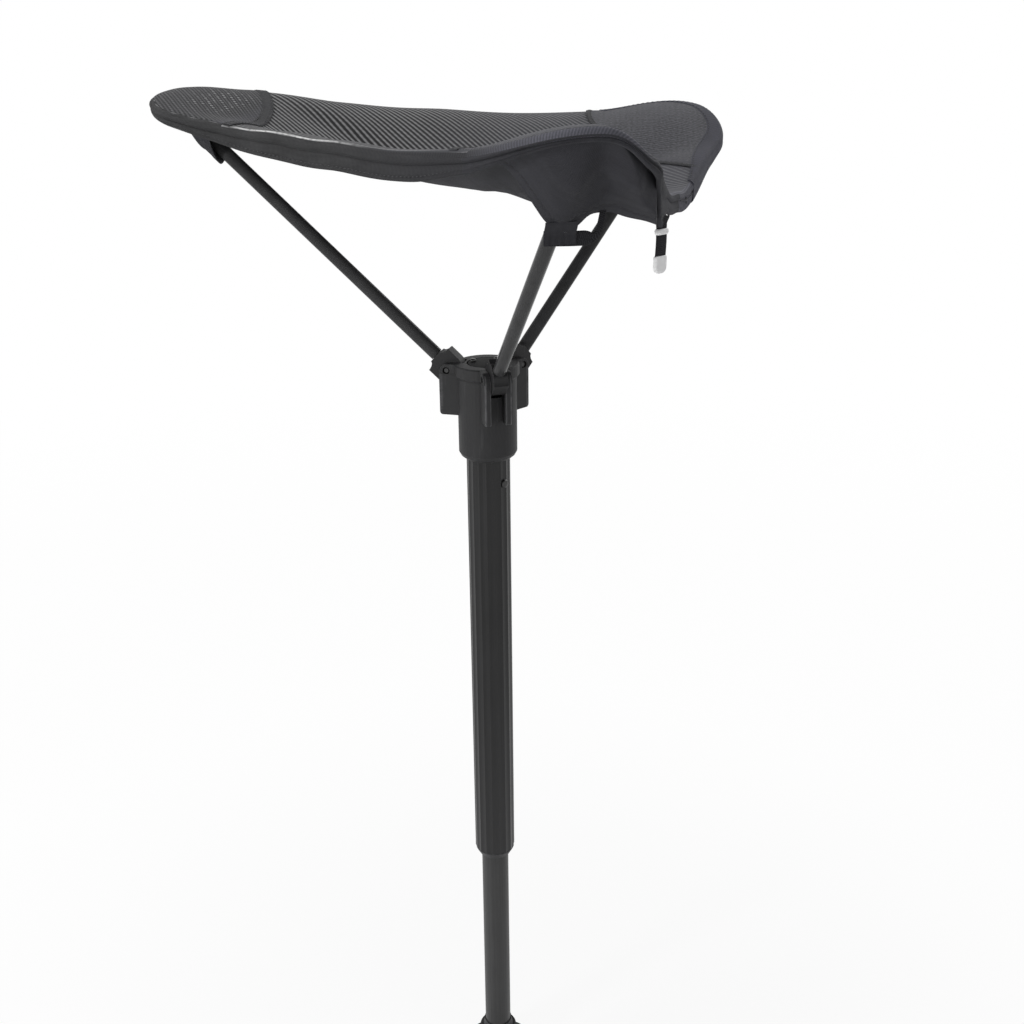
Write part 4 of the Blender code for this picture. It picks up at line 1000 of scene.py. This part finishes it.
def hem(name, first, last, cloth):
    """A band of the edge, below the sling's fold: an upper roll, a groove, and a flat hem folded double.

    The roll and the flat are powers of a sine down the band, and the flat sways slowly along it.
    """
    turn = np.linspace(first, last, 240)
    depth, high = hem_depth(turn)[:, None], hem_start(turn)[:, None]
    groove = np.maximum(np.minimum(HEM_GROOVE, 0.55 * depth), blend(high, depth, 0.4))
    upper, lower = np.linspace(0.0, 1.0, 9), np.linspace(0.0, 1.0, 14)[1:]
    run = rim_run(turn)
    sway = 0.0002 * np.cos(run / 0.031) * np.cos(run / 0.0127 + 1.0)
    roll = -0.0001 + 0.0009 * np.sin(math.pi * upper) ** 0.8 - 0.0004 * upper ** 6
    flat = -0.0005 + 0.0008 * np.sin(math.pi * 0.9 * lower) ** 0.7 - 0.0003 * bell(lower, 0.74, 0.06)
    out = beside(roll, flat + sway * lower)
    down = beside(blend(high, groove, upper), blend(groove, depth, lower))
    inner = np.where(down < WRAP_DEPTH, *HEM_BACKS)
    fold = np.radians(np.linspace(20.0, 160.0, 5))
    folded = blend(inner[:, -1:], out[:, -1:], (1.0 + np.cos(fold)) / 2.0)
    out = beside(out, folded, inner[:, ::-2])
    down = beside(down, depth + 0.0006 * np.sin(fold), down[:, ::-2])
    grid = along_rim(turn, out, down)
    return shell(f"hem_{name}", grid, [cloth], ribbon_uv(grid))


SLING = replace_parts(sling(), "seat_panel")
PATCHES = [lobe_patch(name, azimuth) for name, azimuth in LOBES.items()]
TAPES = [seam_tape(name) for name in LOBES]
BINDING = lobe_binding()
HEMS = [
    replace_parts(hem("front", 197.0, 283.0, HEM_CLOTH), "side_hem_1"),
    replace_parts(hem("right", -43.0, 2.0, PLAIN_WEAVE), "side_hem_2"),
    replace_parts(hem("rear", 77.0, 163.0, HEM_CLOTH), "side_hem_3"),
    hem("left_end", 163.0, 197.0, HEM_CLOTH),
    hem("front_end", 283.0, 317.0, PLAIN_WEAVE),
    hem("right_end", 2.0, 43.0, GROSGRAIN),
]


# Pockets

POCKET_EDGE = LOBE_RADIUS - 0.0070
POCKET_TIP = LOBE_CENTRE + 0.97 * POCKET_EDGE
POCKET_INSET = 0.0034
POCKET_GAP = 0.0004
POCKET_HEM = 0.0005
POCKET_HEM_AT = 0.13
POCKET_STITCH_AT = 0.125
SLACK_WIDTH = 0.0225
BELOW_STRUT = TIP_HEAD_RADIUS / math.cos(STRUT_RISE) + 0.0008


def strut_line(out):
    """Height of a strut's axis at a distance from the post."""
    return PIVOT_HEIGHT + (out - PIVOT_RADIUS) * math.tan(STRUT_RISE)


def pocket_surface(name, along, across):
    """A pocket's upper face: under the lobe's cloth at its sewn edges, pressed down by the strut between.

    The right half of the front one is slack: it spreads to the rim at the mouth, hangs low across, and
    climbs to the cloth as a wall.
    """
    slack = (across > 0.0) & (name == "front")
    opening = POCKET_MOUTHS[name] - 0.010 * across ** 2
    forward = blend(opening, POCKET_TIP, along)
    half = np.sqrt(np.maximum(0.0, POCKET_EDGE ** 2 - np.maximum(0.0, forward - LOBE_CENTRE) ** 2))
    side = (half + slack * SLACK_WIDTH * (1.0 - ease(along / 0.60))) * across
    x, y = turned(forward, side, -LOBES[name])
    within = np.minimum(1.0, (rim_radius(azimuth_of(x, y)) - POCKET_INSET) / np.hypot(x, y))
    x, y = x * within, y * within
    under = np.minimum(forward, STRUT_OUT)
    drop = under_sling(*turned(under, 0.0, -LOBES[name])) - (strut_line(under) - BELOW_STRUT)
    drop *= 1.0 - ease((forward - STRUT_OUT) / (POCKET_TIP - STRUT_OUT))
    snug = np.cos(math.pi * across / 2.0)
    corner = np.sqrt(np.maximum(0.0, 1.0 - across ** 24))
    fall = np.where(slack, (0.46 + 0.10 * across ** 4 + 0.54 * snug ** 12) * corner, snug ** 3)
    return x, y, under_sling(x, y) - POCKET_GAP - drop * fall, forward, side


def pocket(name, node, phase):
    """A pocket: cloth with a turned mouth, creases that fan from the strut's end, and a swelling round it.

    The creases are two cosines of the angle about a point behind the strut's end, and one long fold.
    """
    along = np.linspace(0.0, 1.0, 64)
    across = np.sin(np.linspace(-0.5, 0.5, 101) * math.pi)[:, None]
    x, y, z, forward, side = pocket_surface(name, along, across)
    spread = np.arctan2(side, forward - STRUT_OUT + 0.030)
    away = np.hypot(side, forward - STRUT_OUT)
    fan = np.cos(spread * 6.0 + phase) * 0.6 + np.cos(spread * 11.0 - phase * 2.0) * 0.4
    edge = ease((1.0 - np.abs(across)) / 0.25) * ease((1.0 - along) / 0.3)
    crease = 0.0005 * (1.0 + fan) * edge * ease(away / 0.014)
    crease = crease + 0.0010 * edge * bell(side, 0.012 + 0.25 * (forward - 0.165), 0.0035)
    swell = 0.0006 * bell(away, 0.0, 0.008)
    mouth = POCKET_HEM * ease((POCKET_HEM_AT - along) / 0.02) - 0.0003 * bell(along, 0.12, 0.012)
    thick = POCKET_CLOTH + 0.0002 + mouth
    lower = np.dstack([x, y, z - crease - swell - thick])
    grid = strip(np.dstack([x, y, z - crease * 0.8]), lower)
    uv = both_sides(np.stack([forward, side * np.sqrt(1.0 + 0.3 * np.abs(across))], -1))
    piece = shell(f"pocket_cloth_{name}", grid, [PLAIN_WEAVE], uv, sharp=80.0)
    paths = lower[6:-6, np.argmin(np.abs(along - POCKET_STITCH_AT))], lower[:, -4]
    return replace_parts(piece, node), [stitch_row(path, DOWN) for path in paths]


POCKETS, POCKET_ROWS = [], []
for index, name in enumerate(LOBES, 1):
    made, rows = pocket(name, f"pocket_{index}", 0.8 * index)
    POCKETS.append(made)
    POCKET_ROWS += rows


# Pulls

BAND_TOP = strut_line(POCKET_MOUTHS["front"]) - BELOW_STRUT - 1.5 * POCKET_CLOTH - 0.0003
BAND_SPAN = (-0.0085, 0.0148)
BAND_HALF_WIDTH = 0.00375
BAND_HALF_THICK = 0.0007
BAND_NARROWING = 0.0022
BAND_BOW = 0.0006
BAND_CLIMB = (0.0006, 0.0120)
BAND_CORNER = np.array([0.0150, 0.0050])
BAND_BEND = 0.0050
BAND_LEAN = math.radians(12.0)
PULL_PATCH_SPAN = (-0.0090, 0.0075)
PULL_PATCH_RISE = 0.0046
PULL_PATCH_LENGTH = 0.0115
STRAP_LOW, STRAP_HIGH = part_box("pull_tab_strap")
END_LOW, END_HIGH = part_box("pull_tab_end")
STRAP_TOP = STRAP_HIGH.z + 0.0012
STRAP_FOOT = STRAP_LOW.z - 0.0010
TAB_OUT = float(rim_radius(np.array(TAB_AZIMUTH))) - 0.0012
STRAP_HALF_WIDTH = 0.0039
STRAP_HALF_THICK = 0.0008
STRAP_BOW = 0.0005
RING_AT = 0.36
RING_HALF_WIDTH = 0.0036
RING_HALF_DEPTH = 0.0011
RING_SWELL = 0.0011
RING_HALF_HEIGHT = 0.0016
END_HALF_WIDTH = 0.0046
END_HALF_THICK = 0.0014


def place_across(azimuth, out, side, height):
    """Points from distances along and across a line at an azimuth."""
    return np.stack(np.broadcast_arrays(*turned(out, side, -azimuth), height), -1)


def signed_power(value, power):
    """A power that keeps the sign."""
    return np.sign(value) * np.abs(value) ** power


def flat_section(count):
    """A rounded flat section of half sizes 1: a superellipse, as (across, through) round its edge."""
    turn = np.arange(count) * 2.0 * math.pi / count
    return signed_power(np.cos(turn), 0.45), signed_power(np.sin(turn), 0.75)


def pull_band():
    """The webbing band below the front strut: level, then up on a bend to the mouth, and narrowing."""
    level = np.stack([np.linspace(*BAND_SPAN, 40), np.zeros(40)], -1)
    bend = np.radians(np.linspace(-85.0, -12.0, 16))
    curve = BAND_CORNER + BAND_BEND * np.stack([np.cos(bend), np.sin(bend)], -1)
    leaning = [math.sin(BAND_LEAN), math.cos(BAND_LEAN)]
    climb = curve[-1] + np.linspace(*BAND_CLIMB, 12)[:, None] * leaning
    path = np.concatenate([level, curve, climb])
    ahead = unit(np.gradient(path, axis=0))
    share = np.linspace(0.0, 1.0, len(path))[:, None]
    half = BAND_HALF_WIDTH - BAND_NARROWING * ease((share - 0.50) / 0.22)
    bow = BAND_BOW * np.sin(math.pi * share)
    across, through = flat_section(24)
    side = path[:, :1] - ahead[:, 1:] * half * across
    height = BAND_TOP - BAND_HALF_WIDTH + path[:, 1:] + ahead[:, :1] * half * across - bow
    out = POCKET_MOUTHS["front"] + BAND_HALF_THICK * through + bow
    grid = place_across(LOBES["front"], out, side, height)
    piece = shell("pull_band", grid, [WEBBING], ribbon_uv(grid))
    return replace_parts(piece, "pull_loop")


def pull_patch():
    """The stitched patch that holds the band: from the pocket's underside down over the band's face."""
    side = np.linspace(*PULL_PATCH_SPAN, 30)[:, None]
    share = np.linspace(0.0, 1.0, 22)
    out = POCKET_MOUTHS["front"] + 0.0046 - 0.0034 * ease(share * 1.6)
    height = BAND_TOP + PULL_PATCH_RISE - PULL_PATCH_LENGTH * share
    pucker = 0.00015 * np.cos(side / STITCH_PITCH * 2.0 * math.pi) * share
    face = place_across(LOBES["front"], out + 0.0006 + pucker, side, height)
    back = place_across(LOBES["front"], out - 0.0003, side, height)
    grid = strip(face, back)
    return shell("pull_patch", grid, [PLAIN_WEAVE], ribbon_uv(grid))


def tab_strap():
    """The strap at the front of the right side: a neck gathered from the hem, and a waist at the ring."""
    share = np.linspace(0.0, 1.0, 60)[:, None]
    half = STRAP_HALF_WIDTH - 0.0006 * bell(share, 0.34, 0.05) + 0.0022 * ease((0.20 - share) / 0.20)
    thick = STRAP_HALF_THICK + 0.0003 * ease((0.18 - share) / 0.18)
    bow = STRAP_BOW * np.sin(math.pi * share)
    across, through = flat_section(28)
    height = blend(STRAP_TOP, STRAP_FOOT, share)
    grid = place_across(TAB_AZIMUTH, TAB_OUT + thick * through + bow, half * across, height)
    piece = shell("tab_strap", grid, [WEBBING], ribbon_uv(grid))
    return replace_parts(piece, "pull_tab_strap")


def tab_ring():
    """The pale ring round the strap: a small round carried along a flat superellipse."""
    turn = np.linspace(0.0, 2.0 * math.pi, 49)[:-1, None]
    tube = np.linspace(0.0, 2.0 * math.pi, 15)[:-1]
    wide = (RING_HALF_WIDTH + RING_SWELL * np.cos(tube)) * signed_power(np.cos(turn), 0.6)
    deep = (RING_HALF_DEPTH + RING_SWELL * np.cos(tube)) * np.sin(turn)
    height = blend(STRAP_TOP, STRAP_FOOT, RING_AT) + RING_HALF_HEIGHT * np.sin(tube)
    grid = place_across(TAB_AZIMUTH, TAB_OUT + STRAP_BOW + deep, wide, height)
    uv = np.zeros((grid.shape[0] + 1, grid.shape[1] + 1, 2))
    return shell("tab_ring", grid, [PALE_PLASTIC], uv, around=True)


def tab_end():
    """The strap's pale end: a flat section that rounds off to a tip, with its upper edge eased."""
    share = np.linspace(0.0, 1.0, 30)[:, None]
    tip, brow = np.clip((share - 0.62) / 0.38, 0.0, 1.0), np.clip((0.10 - share) / 0.10, 0.0, 1.0)
    rounded = np.sqrt(1.0 - tip ** 2.4) * (1.0 - 0.25 * brow ** 2)
    half = END_HALF_WIDTH * np.maximum(0.02, rounded)
    thick = END_HALF_THICK * np.maximum(0.05, rounded ** 0.5)
    across, through = flat_section(28)
    height = END_HIGH.z + 0.0004 + (END_LOW.z - END_HIGH.z) * share
    grid = place_across(TAB_AZIMUTH, TAB_OUT + thick * through, half * across, height)
    piece = shell("tab_end", grid, [PALE_PLASTIC], ribbon_uv(grid))
    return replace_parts(piece, "pull_tab_end")


pull_band()
pull_patch()
TAB = [tab_strap(), tab_ring(), tab_end()]


# Stitching

def rim_row(turn, out, down, up=None):
    """A row of stitches along the rim at those azimuths; out and down give its place on the profile."""
    return stitch_row(along_rim(turn, out, down)[:, 0], up)


def tape_rows(name):
    """The two stitch lines along a seam tape."""
    rows = []
    for offset in (-0.36, 0.36):
        x, y = seam_arc(name, offset * TAPE_WIDTHS[name], np.linspace(-0.97, 0.97, 300))
        rows.append(stitch_row(np.stack([x, y, seat_top(x, y) + 0.0008], -1), UP))
    return rows


def seat_rows():
    """The seat's stitch lines: both sides of the seam tapes, the binding, the hems, and a cross behind."""
    rows = [row for name in LOBES for row in tape_rows(name)]
    turn = np.linspace(*BINDING_SPAN, 600)
    rows.append(rim_row(turn, 0.0011 - binding_width(turn)[:, None], -0.0010, UP))
    for first, last in ((199.0, 281.0), (-41.0, 0.0), (79.0, 161.0)):
        turn = np.linspace(first, last, 600)
        rows.append(rim_row(turn, 0.0, hem_depth(turn)[:, None] - 0.0020))
    rows.append(rim_row(np.linspace(2.0, 22.0, 60), 0.0010, 0.0052))
    rows.append(rim_row(np.linspace(12.0, 13.0, 60), 0.0010, np.linspace(0.0030, 0.0080, 60)[:, None]))
    return rows


SEAT_STITCHES = stitches("seat_stitches", seat_rows(), DARK_THREAD)
stitches("pocket_stitches", POCKET_ROWS, DARK_THREAD)

TACK_SIDES = np.array([0.0012, 0.0021])
TACK_ROW = (
    place_across(LOBES["front"], POCKET_MOUTHS["front"] + 0.0019, TACK_SIDES, BAND_TOP - 0.0006),
    place_across(LOBES["front"], 0.0, np.ones(2), 0.0),
    place_across(LOBES["front"], np.ones(2), 0.0, 0.0),
)
stitches("pull_tack", [TACK_ROW], PALE_THREAD, 0.0020, 0.0007, 0.0005)


# Cloth areas of the lobe patches and pockets, worked out and not kept

def cut_area(piece):
    """Half a closed piece's surface: its cloth's area."""
    areas = np.empty(len(piece.data.polygons))
    piece.data.polygons.foreach_get("area", areas)
    return float(areas.sum()) / 2.0


tips = ["strut_tip_1", "strut_tip_2", "strut_tip_3"]
for patch, flat in zip(PATCHES, ((0.112, 0.075), (0.108, 0.074), (0.120, 0.092))):
    cut_area(patch)
for pocket_cloth, tip, flat in zip(POCKETS, tips, ((0.108, 0.054), (0.142, 0.090), (0.094, 0.067))):
    cut_area(pocket_cloth)


# Camera, light and floor

SENSOR_WIDTH = 36.0
PICTURE_PIXELS = 1024.0
FOCAL_PIXELS = 1300.0
CAMERA_PLACE = (0.2213, -0.7596, 0.760)
CAMERA_TURN = 15.17
CAMERA_TILT = 21.41
CAMERA_ROLL = -0.61
LAMPS = {
    "key": ((-1.1, -0.3, 1.9), (0.0, 0.0, 0.6), 1.0, 16.0),
    "fill": ((1.3, -1.2, 1.1), (0.0, 0.0, 0.5), 1.2, 3.0),
    "back": ((0.7, 1.4, 1.5), (0.0, 0.0, 0.6), 1.0, 9.0),
    "side": ((-0.918, -1.438, 0.681), (-0.1, 0.0, 0.6), 0.3, 9.0),
}
WHITE = (1.0, 1.0, 1.0, 1.0)
FLOOR_REACH = 300.0


def add_camera():
    """The photo's camera, as it was fitted: turned to the left, tilted down and rolled a little."""
    camera = add_object("camera", bpy.data.cameras.new("camera"))
    camera.data.sensor_width = SENSOR_WIDTH
    camera.data.lens = FOCAL_PIXELS / PICTURE_PIXELS * SENSOR_WIDTH
    camera.data.clip_start = 0.01
    camera.data.clip_end = 2000.0
    camera.matrix_world = Matrix.Translation(CAMERA_PLACE)
    for angle, axis in ((CAMERA_TURN, "Z"), (90.0 - CAMERA_TILT, "X"), (CAMERA_ROLL, "Z")):
        camera.matrix_world = camera.matrix_world @ Matrix.Rotation(math.radians(angle), 4, axis)
    bpy.context.scene.camera = camera


def add_lamps():
    """Square lamps, each with a place, a point that it faces, a size and a power."""
    for name, (place, aim, size, power) in LAMPS.items():
        lamp = bpy.data.lights.new(name, "AREA")
        lamp.size, lamp.energy = size, power
        aimed = (Vector(aim) - Vector(place)).to_track_quat("-Z", "Y")
        add_object(name, lamp).matrix_world = Matrix.Translation(place) @ aimed.to_matrix().to_4x4()


def shown_white(tree):
    """1 for rays from the camera, a reflection or a transmission, 0 for the rays that light the object."""
    paths = add_node(tree, "LightPath")
    seen = Wire(paths["Is Camera Ray"])
    for kind in ("Is Glossy Ray", "Is Transmission Ray"):
        seen = seen.maths("MAXIMUM", seen, Wire(paths[kind]))
    return seen


def add_sky():
    """A white sky, which lights the object with about a third of what it shows."""
    world = bpy.data.worlds.new("studio")
    bpy.context.scene.world = world
    world.use_nodes = True
    sky = world.node_tree.nodes["Background"]
    sky.inputs["Color"].default_value = WHITE
    strength = shown_white(world.node_tree) * 0.65 + 0.35
    world.node_tree.links.new(strength.socket, sky.inputs["Strength"])


def add_floor():
    """A pale floor that shows white away from the foot, by a glow mixed over it with the distance."""
    far = FLOOR_REACH
    mesh = bpy.data.meshes.new("floor")
    mesh.from_pydata([(-far, -far, 0), (far, -far, 0), (far, far, 0), (-far, far, 0)], [], [(0, 1, 2, 3)])
    card = Finish("pale_floor", base_color=(0.86, 0.86, 0.86, 1.0), roughness=1.0, specular_ior_level=0.0)
    tree = card.material.node_tree
    x, y, _ = card.place.split()
    away = (x * x + y * y) ** 0.5
    white = shown_white(tree) * (away.step(0.10, 0.60) * 0.11 + 0.85 + away.step(0.6, 2.0) * 0.04)
    glow = white.node("Emission", sockets={"Color": WHITE, "Strength": 1.0})
    mixed = white.node("MixShader", sockets={0: white, 1: Wire(card.shader.outputs[0]), 2: glow})
    tree.links.new(mixed.socket, tree.nodes["Material Output"].inputs["Surface"])
    mesh.materials.append(card.material)
    add_object("floor", mesh)


bpy.context.scene.view_settings.view_transform = "Standard"
add_camera()
add_lamps()
add_sky()
add_floor()
